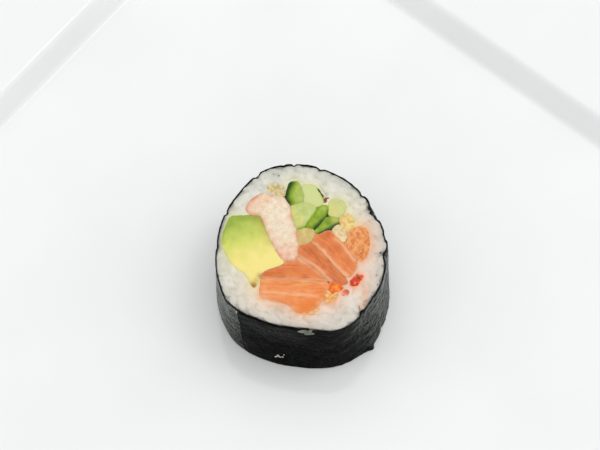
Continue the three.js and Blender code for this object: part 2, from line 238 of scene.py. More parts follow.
def gap_to(line: np.ndarray, points: np.ndarray, closed: bool = True) -> np.ndarray:
    """Measures how far points lie from a line.

    Args:
        line: The line's points, in order.
        points: The points to measure from.
        closed: Whether the line's end joins its start.

    Returns:
        One distance a point.
    """
    starts = line if closed else line[:-1]
    ends = np.roll(line, -1, 0) if closed else line[1:]
    best = np.full(len(points), 1e9)
    for a, b in zip(starts, ends):
        run = b - a
        share = np.clip(((points - a) @ run) / max(run @ run, 1e-12), 0, 1)
        best = np.minimum(best, np.linalg.norm(points - a - share[:, None] * run, axis=1))
    return best


def ripple(points: np.ndarray, size: float, seed: int = 0, detail: int = 2) -> np.ndarray:
    """Gives smooth random values over space.

    Args:
        points: Points with two or three columns, in millimetres.
        size: How far apart its ups and downs lie, in millimetres.
        seed: Picks another pattern.
        detail: How many finer layers are added.

    Returns:
        One value a point, about -1 to 1.
    """
    places = np.zeros((len(points), 3))
    places[:, : points.shape[1]] = points / size
    places += np.array([17.3, 5.1, 9.7]) * (seed + 1)
    return np.array([noise.fractal(p, 0.9, 2.0, detail) for p in places.tolist()])


def smooth_step(value: np.ndarray, low: float, high: float) -> np.ndarray:
    """Rises smoothly from 0 at `low` to 1 at `high`."""
    share = np.clip((value - low) / (high - low), 0, 1)
    return share * share * (3 - 2 * share)


def face_level(xy: np.ndarray) -> np.ndarray:
    """Gives the height at which rice and fillings meet on the cut face."""
    return FACE + 0.12 * ripple(xy, 6.0, 51)


def filled(loops: list[np.ndarray], inner: np.ndarray) -> tuple[np.ndarray, np.ndarray]:
    """Fills an outline with triangles.

    Args:
        loops: The outline, then the holes in it.
        inner: Further points to use inside.

    Returns:
        The points, loops first, and the triangles as rows of three point numbers.
    """
    points = np.vstack([*loops, inner])
    edges, start = [], 0
    for loop in loops:
        n = len(loop)
        edges += [(start + i, start + (i + 1) % n) for i in range(n)]
        start += n
    made = geometry.delaunay_2d_cdt([Vector(p) for p in points], edges, [], 0, 1e-7)
    flat = np.array([tuple(v) for v in made[0]])
    faces = np.array(made[2])
    middles = flat[faces].mean(1)
    keep = is_inside(loops[0], middles)
    for hole in loops[1:]:
        keep &= ~is_inside(hole, middles)
    return flat, faces[keep]


def inner_points(loops: list[np.ndarray], spacing: float) -> np.ndarray:
    """Spreads points evenly inside an outline.

    Args:
        loops: The outline, then the holes in it.
        spacing: Distance between points.

    Returns:
        The points, one a row.
    """
    low, high = loops[0].min(0), loops[0].max(0)
    rows = np.arange(low[1], high[1], spacing * 0.866)
    columns = np.arange(low[0], high[0], spacing)
    x, y = np.meshgrid(columns, rows)
    x[1::2] += spacing / 2
    points = np.stack([x.ravel(), y.ravel()], 1)
    keep = is_inside(loops[0], points) & (gap_to(loops[0], points) > 0.6 * spacing)
    for hole in loops[1:]:
        keep &= ~is_inside(hole, points) & (gap_to(hole, points) > 0.6 * spacing)
    return points[keep]


def band(above: list[int], below: list[int]) -> list[tuple[int, ...]]:
    """Joins two closed rings of points with four-sided faces.

    Args:
        above: Point numbers of the upper ring.
        below: Point numbers of the ring under it.

    Returns:
        The faces, by point number.
    """
    upper, lower = above[1:] + above[:1], below[1:] + below[:1]
    return list(zip(above, below, lower, upper))


# ---------------------------------------------------------------- making objects


def new_object(name: str, data: bpy.types.ID) -> bpy.types.Object:
    """Makes an object and puts it in the scene.

    Args:
        name: Its name.
        data: Its mesh, camera or light.

    Returns:
        The object.
    """
    made = bpy.data.objects.new(name, data)
    bpy.context.scene.collection.objects.link(made)
    return made


def set_marks(mesh: bpy.types.Mesh, marks: dict[str, np.ndarray]) -> None:
    """Stores values for each vertex, which a material reads by name."""
    for mark, values in marks.items():
        mesh.attributes.new(mark, "FLOAT", "POINT").data.foreach_set("value", values.astype(np.float32))


def settled(rough: bpy.types.Object, name: str) -> bpy.types.Object:
    """Turns an object with modifiers into a plain one.

    Args:
        rough: The object, which is used up.
        name: The new object's name.

    Returns:
        A plain mesh object.
    """
    bpy.context.view_layer.update()
    seen = rough.evaluated_get(bpy.context.evaluated_depsgraph_get())
    mesh = bpy.data.meshes.new_from_object(seen)
    mesh.name = name
    bpy.data.objects.remove(rough)
    return new_object(name, mesh)


def make_piece(
    name: str,
    points: np.ndarray,
    faces: list,
    finish: bpy.types.Material,
    marks: dict[str, np.ndarray] | None = None,
    unwrapped: np.ndarray | None = None,
) -> bpy.types.Object:
    """Makes a smooth mesh object from slice millimetres.

    Args:
        name: The object's name.
        points: Its vertices in slice millimetres.
        faces: Its faces, as lists of vertex numbers.
        finish: Its material.
        marks: Values for each vertex that the material reads, by name.
        unwrapped: A flat place for each vertex, in millimetres, where a pattern follows it.

    Returns:
        The new object, in the scene.
    """
    mesh = bpy.data.meshes.new(name)
    mesh.from_pydata(PLACE.to_row(points).tolist(), [], faces)
    mesh.materials.append(finish)
    set_marks(mesh, marks or {})
    if unwrapped is not None:
        corners = np.zeros(len(mesh.loops), np.int32)
        mesh.loops.foreach_get("vertex_index", corners)
        layer = mesh.uv_layers.new(name="UVMap")
        layer.data.foreach_set("uv", (unwrapped[corners] * MM).astype(np.float32).ravel())
    mesh.shade_smooth()
    return new_object(name, mesh)


def fused(
    name: str, parts: list[bpy.types.Object], cell: float, finish: bpy.types.Material
) -> bpy.types.Object:
    """Melts overlapping bodies into one closed skin, as sticky food is.

    Args:
        name: The new piece's name.
        parts: Closed mesh objects, which are used up.
        cell: Size of the finest detail that is kept, in millimetres.
        finish: The new piece's material.

    Returns:
        A plain mesh object.
    """
    joined = bmesh.new()
    for part in parts:
        joined.from_mesh(part.data)
        bpy.data.objects.remove(part)
    mesh = bpy.data.meshes.new(name)
    joined.to_mesh(mesh)
    joined.free()
    rough = new_object(name + "_rough", mesh)
    skin = rough.modifiers.new("skin", "REMESH")
    skin.mode, skin.voxel_size, skin.use_smooth_shade = "VOXEL", cell * MM, True
    piece = settled(rough, name)
    piece.data.materials.clear()
    piece.data.materials.append(finish)
    return piece


def place_piece(piece: bpy.types.Object, slot: str, *nodes: str) -> bpy.types.Object:
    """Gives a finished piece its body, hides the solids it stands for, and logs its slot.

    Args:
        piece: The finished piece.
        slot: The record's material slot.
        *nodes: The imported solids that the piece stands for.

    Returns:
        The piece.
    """
    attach(piece, ROOT)
    if nodes:
        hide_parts(*nodes)
    triangles = sum(len(p.vertices) - 2 for p in piece.data.polygons)
    log.info("%s: %d triangles, slot %s", piece.name, triangles, slot)
    return piece


def linear(code: str) -> tuple[float, float, float, float]:
    """Turns an sRGB hex colour into linear light.

    Args:
        code: The colour as six hex digits.

    Returns:
        Red, green, blue and alpha.
    """
    parts = [int(code[i : i + 2], 16) / 255 for i in (0, 2, 4)]
    return (*(p / 12.92 if p <= 0.04045 else ((p + 0.055) / 1.055) ** 2.4 for p in parts), 1.0)


def per_mm(size: float) -> float:
    """Gives the texture scale whose features lie `size` millimetres apart."""
    return 1 / (size * MM)


def add(
    tree: bpy.types.NodeTree,
    kind: str,
    sockets: dict | None = None,
    out: int | str = 0,
    stops: dict[float, str] | None = None,
    **settings: object,
) -> bpy.types.NodeSocket | None:
    """Adds a node with its settings and links.

    Args:
        tree: The node tree.
        kind: The node's type name.
        sockets: For each input, by name or number, a value or the output that feeds it.
        out: The output that is wanted.
        stops: sRGB hex colours by place, for a colour ramp.
        **settings: Values for the node's own properties.

    Returns:
        The wanted output, or None from a node without any.
    """
    node = tree.nodes.new(kind)
    for key, value in settings.items():
        setattr(node, key, value)
    for key, value in (sockets or {}).items():
        if isinstance(value, bpy.types.NodeSocket):
            tree.links.new(value, node.inputs[key])
        else:
            node.inputs[key].default_value = value
    if stops:
        elements = node.color_ramp.elements
        while len(elements) < len(stops):
            elements.new(0.5)
        for element, place in zip(elements, sorted(stops)):
            element.position, element.color = place, linear(stops[place])
    return node.outputs[out] if node.outputs else None


# ---------------------------------------------------------------- finishes


@dataclass(frozen=True)
class Finish:
    """A real material, whose colour and bumps each subclass paints.

    Attributes:
        name: The material's name.
        roughness: How dull its surface is.
        ior: How strongly its surface bends light.
        glow: Share of the light that passes through its skin.
        glow_depth: How far red, green and blue travel inside, in millimetres.
        bumps: Strength of its finest bumps, and their height in millimetres.
    """

    name: str = ""
    roughness: float = 0.4
    ior: float = 1.4
    glow: float = 0.0
    glow_depth: tuple[float, float, float] = (1.0, 1.0, 1.0)
    bumps: tuple[float, float] = (0.3, 0.06)

    def paint(self, tree: bpy.types.NodeTree) -> dict[str, object]:
        """Gives the colour, the bumps' `Height` and any further shader inputs."""
        raise NotImplementedError

    def build(self) -> bpy.types.Material:
        """Builds the material.

        Returns:
            The material, with no image in it.
        """
        material = bpy.data.materials.new(self.name)
        material.use_nodes = True
        tree = material.node_tree
        tree.nodes.clear()
        inputs = {"Roughness": self.roughness, "IOR": self.ior} | self.paint(tree)
        if self.glow:
            inputs |= {"Subsurface Weight": self.glow, "Subsurface Scale": MM}
            inputs["Subsurface Radius"] = self.glow_depth
        strength, height = self.bumps
        bump = {"Height": inputs.pop("Height"), "Strength": strength, "Distance": height * MM}
        inputs["Normal"] = add(tree, "ShaderNodeBump", bump)
        shader = add(tree, "ShaderNodeBsdfPrincipled", inputs)
        add(tree, "ShaderNodeOutputMaterial", {"Surface": shader})
        return material


@dataclass(frozen=True)
class GlazedPorcelain(Finish):
    """White porcelain under a clear gloss glaze: cool white, with soft mirror highlights."""

    name: str = "glazed_porcelain"
    roughness: float = 0.09
    ior: float = 1.5
    bumps: tuple[float, float] = (0.25, 0.03)
    colour: str = "F5F7F6"
    cloud: str = "F2F4F3"

    def paint(self, tree: bpy.types.NodeTree) -> dict[str, object]:
        """Paints clouds 40 mm wide over waves of the glaze 14 mm apart.

        Args:
            tree: The material's node tree.

        Returns:
            The shader's inputs, and the bumps' `Height`.
        """
        where = add(tree, "ShaderNodeTexCoord", out="Object")
        cloud = add(tree, "ShaderNodeTexNoise", {"Vector": where, "Scale": per_mm(40), "Detail": 2.0})
        wave = add(tree, "ShaderNodeTexNoise", {"Vector": where, "Scale": per_mm(14), "Detail": 1.0})
        colour = add(tree, "ShaderNodeValToRGB", {"Fac": cloud}, stops={0.35: self.cloud, 0.65: self.colour})
        return {"Base Color": colour, "Height": wave}


@dataclass(frozen=True)
class DampNori(Finish):
    """Roasted seaweed gone damp on the rice: near black with a green cast and a dull sheen.

    `pale` marks painted sheen: a light grey painted on the sheet's wrinkles at its left and right sides,
    for the grey sheen that they show there.
    """

    name: str = "damp_roasted_nori"
    ior: float = 1.45
    bumps: tuple[float, float] = (0.8, 0.14)
    deep: str = "060706"
    mid: str = "0C0E0D"
    fibre: str = "2A2E28"
    # The light grey of the painted sheen.
    painted_sheen: str = "868A86"

    def paint(self, tree: bpy.types.NodeTree) -> dict[str, object]:
        """Paints pressed strands over clouds, and a painted grey sheen on the wrinkles.

        Args:
            tree: The material's node tree.

        Returns:
            The shader's inputs, and the bumps' `Height`.
        """
        flat = add(tree, "ShaderNodeUVMap", uv_map="UVMap")
        # Strands about half a millimetre wide and three times as long.
        along = add(tree, "ShaderNodeMapping", {"Vector": flat, "Scale": (1.0, 0.35, 1.0)})
        strand = {"Vector": along, "Scale": per_mm(0.5), "Detail": 4.0, "Roughness": 0.65, "Distortion": 0.6}
        strands = add(tree, "ShaderNodeTexNoise", strand)
        cloud = add(tree, "ShaderNodeTexNoise", {"Vector": flat, "Scale": per_mm(3.5), "Detail": 3.0})
        mixed = add(tree, "ShaderNodeMath", {0: cloud, 1: 0.5, 2: strands}, operation="MULTIPLY_ADD")
        wet_stops = {0.6: self.deep, 0.8: self.mid, 0.97: self.fibre}
        wet = add(tree, "ShaderNodeValToRGB", {"Fac": mixed}, stops=wet_stops)
        # Fine wrinkles run up the wall at a slant, about a millimetre apart.
        slant = {"Vector": flat, "Rotation": (0, 0, math.radians(62)), "Scale": (0.22, 1.0, 1.0)}
        slanted = add(tree, "ShaderNodeMapping", slant)
        crease = {"Vector": slanted, "Scale": per_mm(1.1), "Detail": 3.0, "Distortion": 0.8}
        wrinkle = add(tree, "ShaderNodeTexNoise", crease)
        raised = add(tree, "ShaderNodeMath", {0: wrinkle, 1: strands}, operation="ADD")
        # The painted sheen shows only on the wrinkles and the strands that stand up.
        pale = add(tree, "ShaderNodeAttribute", out="Fac", attribute_name="pale")
        standing = add(tree, "ShaderNodeMapRange", {"Value": raised, "From Min": 0.84, "From Max": 1.18})
        painted_sheen = add(tree, "ShaderNodeMath", {0: pale, 1: standing}, operation="MULTIPLY")
        tint = {"Factor": painted_sheen, 6: wet, 7: linear(self.painted_sheen)}
        dull = {"Value": cloud, "From Min": 0.35, "From Max": 0.65, "To Min": 0.42, "To Max": 0.62}
        return {
            "Base Color": add(tree, "ShaderNodeMix", tint, 2, data_type="RGBA"),
            "Roughness": add(tree, "ShaderNodeMapRange", dull),
            "Specular IOR Level": 0.015,
            "Sheen Weight": 0.45,
            "Sheen Roughness": 0.2,
            "Height": add(tree, "ShaderNodeMath", {0: wrinkle, 1: 1.2, 2: mixed}, operation="MULTIPLY_ADD"),
        }


@dataclass(frozen=True)
class CookedRice(Finish):
    """Steamed short-grain rice with vinegar: pearly, moist, light passes through its rims.

    `warm` and `leafy` mark where a neighbour's colour has run into the rice, and `painted_shade` marks
    painted shade in the gaps between grains and along the nori.
    """

    name: str = "steamed_rice"
    roughness: float = 0.38
    glow: float = 0.5
    glow_depth: tuple[float, float, float] = (0.8, 0.78, 0.74)
    bumps: tuple[float, float] = (0.5, 0.1)
    pearl: str = "E8E7DE"
    shade: str = "D2D2C9"
    blush: str = "F8AC78"
    leaf: str = "ECE7A8"
    # The grey of the painted shade.
    painted_shade: str = "8F8E88"

    def paint(self, tree: bpy.types.NodeTree) -> dict[str, object]:
        """Paints one lighter or darker patch for about every grain, then the tints and the painted shade.

        Args:
            tree: The material's node tree.

        Returns:
            The shader's inputs, and the bumps' `Height`.
        """
        where = add(tree, "ShaderNodeTexCoord", out="Object")
        cloud = add(tree, "ShaderNodeTexNoise", {"Vector": where, "Scale": per_mm(3.0), "Detail": 3.0})
        colour = add(tree, "ShaderNodeValToRGB", {"Fac": cloud}, stops={0.3: self.shade, 0.65: self.pearl})
        for mark, tint in (("warm", self.blush), ("leafy", self.leaf), ("painted_shade", self.painted_shade)):
            share = add(tree, "ShaderNodeAttribute", out="Fac", attribute_name=mark)
            inputs = {"Factor": share, 6: colour, 7: linear(tint)}
            colour = add(tree, "ShaderNodeMix", inputs, 2, data_type="RGBA")
        fine = add(tree, "ShaderNodeTexNoise", {"Vector": where, "Scale": per_mm(0.7), "Detail": 2.0})
        return {"Base Color": colour, "Height": fine}


@dataclass(frozen=True)
class CrabStick(Finish):
    """Pressed fish-paste stick: cream-white layered threads in a thin dyed skin.

    `skin` marks the dyed outside and the lines where the folded sheet meets itself.
    """

    name: str = "crab_stick_threads"
    roughness: float = 0.42
    glow: float = 0.6
    glow_depth: tuple[float, float, float] = (1.0, 0.6, 0.4)
    bumps: tuple[float, float] = (0.45, 0.1)
    flesh: str = "F8EFDC"
    shade: str = "E9D6B6"
    dye: str = "EA8E66"

    def paint(self, tree: bpy.types.NodeTree) -> dict[str, object]:
        """Paints threads 0.7 mm across, cut end on, so they read as small cells.

        Args:
            tree: The material's node tree.

        Returns:
            The shader's inputs, and the bumps' `Height`.
        """
        flat = add(tree, "ShaderNodeUVMap", uv_map="UVMap")
        cells = add(tree, "ShaderNodeTexVoronoi", {"Vector": flat, "Scale": per_mm(0.7), "Randomness": 0.9})
        cloud = add(tree, "ShaderNodeTexNoise", {"Vector": flat, "Scale": per_mm(2.2), "Detail": 3.0})
        mixed = add(tree, "ShaderNodeMath", {0: cells, 1: 0.45, 2: cloud}, operation="MULTIPLY_ADD")
        plain = add(tree, "ShaderNodeValToRGB", {"Fac": mixed}, stops={0.45: self.flesh, 0.95: self.shade})
        skin = add(tree, "ShaderNodeAttribute", out="Fac", attribute_name="skin")
        patchy = add(tree, "ShaderNodeMath", {0: cloud, 1: 1.6}, operation="MULTIPLY")
        dyed = add(tree, "ShaderNodeMath", {0: skin, 1: patchy}, operation="MULTIPLY", use_clamp=True)
        inputs = {"Factor": dyed, 6: plain, 7: linear(self.dye)}
        return {"Base Color": add(tree, "ShaderNodeMix", inputs, 2, data_type="RGBA"), "Height": mixed}


@dataclass(frozen=True)
class AvocadoFlesh(Finish):
    """Ripe avocado: butter-smooth, green by the skin and yellow towards the stone.

    `ripe` runs from 0 by the skin to 1 by the stone, and `browned` marks air-darkened flesh; at the tip it
    also paints shade for the dark gap there.
    """

    name: str = "avocado_flesh"
    roughness: float = 0.36
    ior: float = 1.42
    glow: float = 0.45
    glow_depth: tuple[float, float, float] = (1.0, 0.9, 0.35)
    by_skin: str = "96B03A"
    middle: str = "D3DA66"
    by_stone: str = "F7E68C"
    # Brown of air-darkened flesh, also used for the painted shade at the tip.
    browned: str = "A06E20"

    def paint(self, tree: bpy.types.NodeTree) -> dict[str, object]:
        """Paints soft clouds 3 mm wide, with the knife's drag lines a millimetre apart.

        Args:
            tree: The material's node tree.

        Returns:
            The shader's inputs, and the bumps' `Height`.
        """
        flat = add(tree, "ShaderNodeUVMap", uv_map="UVMap")
        ripe = add(tree, "ShaderNodeAttribute", out="Fac", attribute_name="ripe")
        cloud = add(tree, "ShaderNodeTexNoise", {"Vector": flat, "Scale": per_mm(3.0), "Detail": 4.0})
        uneven = add(tree, "ShaderNodeMath", {0: cloud, 1: 0.3, 2: ripe}, operation="MULTIPLY_ADD")
        stops = {0.12: self.by_skin, 0.55: self.middle, 1.0: self.by_stone}
        flesh = add(tree, "ShaderNodeValToRGB", {"Fac": uneven}, stops=stops)
        dark = add(tree, "ShaderNodeAttribute", out="Fac", attribute_name="browned")
        inputs = {"Factor": dark, 6: flesh, 7: linear(self.browned)}
        across = add(tree, "ShaderNodeMapping", {"Vector": flat, "Scale": (0.15, 1.0, 1.0)})
        drag = add(tree, "ShaderNodeTexNoise", {"Vector": across, "Scale": per_mm(1.0), "Detail": 2.0})
        return {"Base Color": add(tree, "ShaderNodeMix", inputs, 2, data_type="RGBA"), "Height": drag}


@dataclass(frozen=True)
class CucumberFlesh(Finish):
    """Raw cucumber: wet, glassy pale flesh that deepens to a thin dark green skin.

    `skin` marks the peel's side, `seedy` the soft middle with its seeds, and `browned` where
    a sauce has run in.
    """

    name: str = "cucumber_flesh"
    roughness: float = 0.25
    ior: float = 1.36
    glow: float = 0.5
    glow_depth: tuple[float, float, float] = (0.9, 1.1, 0.45)
    flesh: str = "D3DB94"
    green: str = "98B324"
    under_peel: str = "4B7004"
    peel: str = "2A4604"
    core: str = "E8D684"
    browned: str = "DDA066"

    def paint(self, tree: bpy.types.NodeTree) -> dict[str, object]:
        """Paints the flesh by its depth, then cells 1.5 mm wide for the seeds, then the sauce.

        Args:
            tree: The material's node tree.

        Returns:
            The shader's inputs, and the bumps' `Height`.
        """
        flat = add(tree, "ShaderNodeUVMap", uv_map="UVMap")
        cloud = add(tree, "ShaderNodeTexNoise", {"Vector": flat, "Scale": per_mm(1.6), "Detail": 3.0})
        skin = add(tree, "ShaderNodeAttribute", out="Fac", attribute_name="skin")
        uneven = add(tree, "ShaderNodeMath", {0: cloud, 1: 0.2, 2: skin}, operation="MULTIPLY_ADD")
        stops = {0.13: self.flesh, 0.5: self.green, 0.86: self.under_peel, 1.0: self.peel}
        colour = add(tree, "ShaderNodeValToRGB", {"Fac": uneven}, stops=stops)
        seeds = add(tree, "ShaderNodeTexVoronoi", {"Vector": flat, "Scale": per_mm(1.5), "Randomness": 0.8})
        seedy = add(tree, "ShaderNodeAttribute", out="Fac", attribute_name="seedy")
        cells = add(tree, "ShaderNodeMath", {0: seedy, 1: seeds}, operation="MULTIPLY", use_clamp=True)
        sauce = add(tree, "ShaderNodeAttribute", out="Fac", attribute_name="browned")
        for share, tint in ((cells, self.core), (sauce, self.browned)):
            inputs = {"Factor": share, 6: colour, 7: linear(tint)}
            colour = add(tree, "ShaderNodeMix", inputs, 2, data_type="RGBA")
        fine = add(tree, "ShaderNodeTexNoise", {"Vector": flat, "Scale": per_mm(0.5), "Detail": 2.0})
        return {"Base Color": colour, "Height": fine}


@dataclass(frozen=True)
class RawSalmon(Finish):
    """Raw salmon: orange-pink muscle in fine strands between white fat lines, wet.

    `fat` marks the fat lines, `deep` the redder muscle, `vivid` a stain from the roe.
    """

    name: str = "raw_salmon"
    roughness: float = 0.3
    glow: float = 0.5
    glow_depth: tuple[float, float, float] = (1.2, 0.54, 0.3)
    bumps: tuple[float, float] = (0.35, 0.08)
    light: str = "F4A464"
    muscle: str = "EC8A42"
    dark: str = "C25A20"
    fat: str = "F8BE94"
    stain: str = "EC7C10"

    def paint(self, tree: bpy.types.NodeTree) -> dict[str, object]:
        """Paints strands 0.8 mm wide and five times as long, then the fat and the stain.

        Args:
            tree: The material's node tree.

        Returns:
            The shader's inputs, and the bumps' `Height`.
        """
        flat = add(tree, "ShaderNodeUVMap", uv_map="UVMap")
        along = add(tree, "ShaderNodeMapping", {"Vector": flat, "Scale": (0.2, 1.0, 1.0)})
        strands = add(tree, "ShaderNodeTexNoise", {"Vector": along, "Scale": per_mm(0.8), "Detail": 3.0})
        cloud = add(tree, "ShaderNodeTexNoise", {"Vector": flat, "Scale": per_mm(3.0), "Detail": 2.0})
        mixed = add(tree, "ShaderNodeMath", {0: cloud, 1: 0.5, 2: strands}, operation="MULTIPLY_ADD")
        deep = add(tree, "ShaderNodeAttribute", out="Fac", attribute_name="deep")
        toned = add(tree, "ShaderNodeMath", {0: mixed, 1: deep}, operation="SUBTRACT")
        stops = {0.15: self.dark, 0.72: self.muscle, 1.0: self.light}
        colour = add(tree, "ShaderNodeValToRGB", {"Fac": toned}, stops=stops)
        for mark, tint in (("vivid", self.stain), ("fat", self.fat)):
            share = add(tree, "ShaderNodeAttribute", out="Fac", attribute_name=mark)
            inputs = {"Factor": share, 6: colour, 7: linear(tint)}
            colour = add(tree, "ShaderNodeMix", inputs, 2, data_type="RGBA")
        return {"Base Color": colour, "Height": strands}


class Tone(Enum):
    """Darkest and lightest colour of the crumbs and the eggs."""

    GOLDEN = ("E6B24C", "F6DC98")
    PALE = ("E4BE7E", "F4E0B4")
    APRICOT = ("F0A050", "F9CB8A")
    OLIVE = ("D2BE86", "ECDFB0")
    ORANGE = ("DE8040", "F4AE6C")
    AMBER = ("EC6410", "FF9434")
    RED = ("DA3820", "FA7A54")
    ROSE = ("E4664A", "F6A488")
    SAUCE = ("7A3E1E", "B06C40")


@dataclass(frozen=True)
class Mottled(Finish):
    """Small bodies of one kind, whose tone changes from one to the next.

    Attributes:
        tone: Their darkest and their lightest colour.
        patch: Width of a lighter or darker patch, in millimetres.
        detail: How many finer layers the patches have.
        ends: Where in the pattern the darkest and the lightest colour lie.
    """

    tone: Tone = Tone.GOLDEN
    patch: float = 1.2
    detail: float = 4.0
    ends: tuple[float, float] = (0.32, 0.62)

    def paint(self, tree: bpy.types.NodeTree) -> dict[str, object]:
        """Paints the lighter and darker patches.

        Args:
            tree: The material's node tree.

        Returns:
            The shader's inputs, and the bumps' `Height`.
        """
        where = add(tree, "ShaderNodeTexCoord", out="Object")
        patches = {"Vector": where, "Scale": per_mm(self.patch), "Detail": self.detail}
        cloud = add(tree, "ShaderNodeTexNoise", patches)
        stops = dict(zip(self.ends, self.tone.value))
        return {"Base Color": add(tree, "ShaderNodeValToRGB", {"Fac": cloud}, stops=stops), "Height": cloud}


@dataclass(frozen=True)
class FriedBatter(Mottled):
    """Fried batter flakes: crisp yellow crumbs, soft where they met the filling."""

    roughness: float = 0.45
    ior: float = 1.42
    glow: float = 0.4
    glow_depth: tuple[float, float, float] = (0.8, 0.56, 0.28)
    bumps: tuple[float, float] = (0.6, 0.15)


@dataclass(frozen=True)
class FishRoe(Mottled):
    """Salted fish eggs: glossy, see-through skins over dyed drops that differ a little."""

    roughness: float = 0.2
    ior: float = 1.38
    bumps: tuple[float, float] = (0.2, 0.03)
    patch: float = 1.3
    detail: float = 1.0
    ends: tuple[float, float] = (0.35, 0.65)


# ---------------------------------------------------------------- scattering by Geometry Nodes


@dataclass(frozen=True)
class Scatter:
    """Lays many small bodies, such as grains or eggs, over a surface, and cuts them level.

    Attributes:
        name: The made piece's name.
        length: Length of one body.
        width: Width of one body.
        depth: Height of one body as it lies.
        spacing: Least distance between two middles.
        tilt: Most that a body leans, in radians.
        loose: Most that a body turns from the surface's own lie, in radians.
        uneven: How far a body's skin is pushed in or out.
        cut: Height of the knife's cut.
        seed: Picks the arrangement.
        smallest: Size of the smallest body against the full size.
        largest: Size of the largest body against the full size.
    """

    name: str
    length: float
    width: float
    depth: float
    spacing: float
    tilt: float = 0.3
    loose: float = 0.6
    uneven: float = 0.2
    cut: float = FACE
    seed: int = 0
    smallest: float = 0.82
    largest: float = 1.12

    def tree(self) -> bpy.types.GeometryNodeTree:
        """Builds the node tree.

        Returns:
            A tree with named inputs for the sizes, the seed and the finish.
        """
        tree = bpy.data.node_groups.new(self.name + "_scatter", "GeometryNodeTree")
        labels = {"Surface": "Geometry", "Seed": "Int", "Finish": "Material"}
        measures = ("Length", "Width", "Depth", "Spacing", "Tilt", "Loose", "Uneven", "Cut", "Least")
        labels |= dict.fromkeys(measures, "Float")
        for label, kind in labels.items():
            tree.interface.new_socket(label, in_out="INPUT", socket_type="NodeSocket" + kind)
        tree.interface.new_socket("Bodies", in_out="OUTPUT", socket_type="NodeSocketGeometry")
        given = add(tree, "NodeGroupInput").node.outputs
        seed = given["Seed"]
        # The density is so high that only the spacing limits how many there are.
        spread = {"Mesh": given["Surface"], "Distance Min": given["Spacing"], "Density Max": 4e6}
        spread["Seed"] = seed
        spots = add(tree, "GeometryNodeDistributePointsOnFaces", spread, distribute_method="POISSON")
        ball = add(tree, "GeometryNodeMeshUVSphere", {"Segments": 8, "Rings": 6, "Radius": 0.5})
        size = add(tree, "ShaderNodeCombineXYZ", {0: given["Length"], 1: given["Width"], 2: given["Depth"]})
        body = add(tree, "GeometryNodeTransform", {"Geometry": ball, "Scale": size})
        turned = []
        for number, limit in enumerate((given["Tilt"], given["Tilt"], given["Loose"]), 1):
            least = add(tree, "ShaderNodeMath", {0: limit, 1: -1.0}, operation="MULTIPLY")
            own = add(tree, "ShaderNodeMath", {0: seed, 1: float(number)}, operation="ADD")
            span = {2: least, 3: limit, "Seed": own}
            turned.append(add(tree, "FunctionNodeRandomValue", span, 1, data_type="FLOAT"))
        lie = add(tree, "GeometryNodeInputNamedAttribute", {"Name": "lie"}, data_type="FLOAT")
        heading = add(tree, "ShaderNodeMath", {0: lie, 1: turned[2]}, operation="ADD")
        angles = add(tree, "ShaderNodeCombineXYZ", {0: turned[0], 1: turned[1], 2: heading})
        least = add(tree, "ShaderNodeCombineXYZ", {axis: given["Least"] for axis in range(3)})
        span = {0: least, 1: (self.largest,) * 3, "Seed": seed}
        sizes = add(tree, "FunctionNodeRandomValue", span, data_type="FLOAT_VECTOR")
        laid = {"Points": spots, "Instance": body, "Rotation": angles, "Scale": sizes}
        bodies = add(tree, "GeometryNodeInstanceOnPoints", laid)
        shape = add(tree, "GeometryNodeRealizeInstances", {"Geometry": bodies})
        # Each body is pushed out of true, and then cut level with the knife.
        where = add(tree, "GeometryNodeInputPosition")
        lumps = {"Vector": where, "Scale": per_mm(2.4), "Detail": 1.0}
        push = add(tree, "ShaderNodeTexNoise", lumps, "Color")
        centred = add(tree, "ShaderNodeVectorMath", {0: push, 1: (0.5, 0.5, 0.5)}, operation="SUBTRACT")
        pushed = add(tree, "ShaderNodeVectorMath", {0: centred, "Scale": given["Uneven"]}, operation="SCALE")
        shape = add(tree, "GeometryNodeSetPosition", {"Geometry": shape, "Offset": pushed})
        parts = add(tree, "ShaderNodeSeparateXYZ", {0: add(tree, "GeometryNodeInputPosition")}).node.outputs
        knife = {0: parts[2], 1: given["Cut"], 2: 0.25 * MM}
        level = add(tree, "ShaderNodeMath", knife, operation="SMOOTH_MIN")
        place = add(tree, "ShaderNodeCombineXYZ", {0: parts[0], 1: parts[1], 2: level})
        shape = add(tree, "GeometryNodeSetPosition", {"Geometry": shape, "Position": place})
        shape = add(tree, "GeometryNodeSetShadeSmooth", {"Geometry": shape})
        shape = add(tree, "GeometryNodeSetMaterial", {"Geometry": shape, "Material": given["Finish"]})
        add(tree, "NodeGroupOutput", {"Bodies": shape})
        return tree

    def lay_on(self, surface: bpy.types.Object, finish: bpy.types.Material) -> bpy.types.Object:
        """Lays the bodies over a surface and removes the surface.

        Args:
            surface: A mesh object whose `lie` values give each place's direction.
            finish: The bodies' material.

        Returns:
            A plain mesh object of all the bodies.
        """
        sizes = {
            "Length": self.length, "Width": self.width, "Depth": self.depth, "Spacing": self.spacing,
            "Uneven": self.uneven, "Cut": PLACE.base + self.cut,
        }
        values = {label: size * MM for label, size in sizes.items()}
        values |= {"Tilt": self.tilt, "Loose": self.loose, "Least": self.smallest}
        values |= {"Seed": self.seed, "Finish": finish}
        modifier = surface.modifiers.new("scatter", "NODES")
        modifier.node_group = self.tree()
        for socket in modifier.node_group.interface.items_tree:
            if socket.in_out == "INPUT" and socket.name in values:
                modifier[socket.identifier] = values[socket.name]
        return settled(surface, self.name)


# ---------------------------------------------------------------- plate


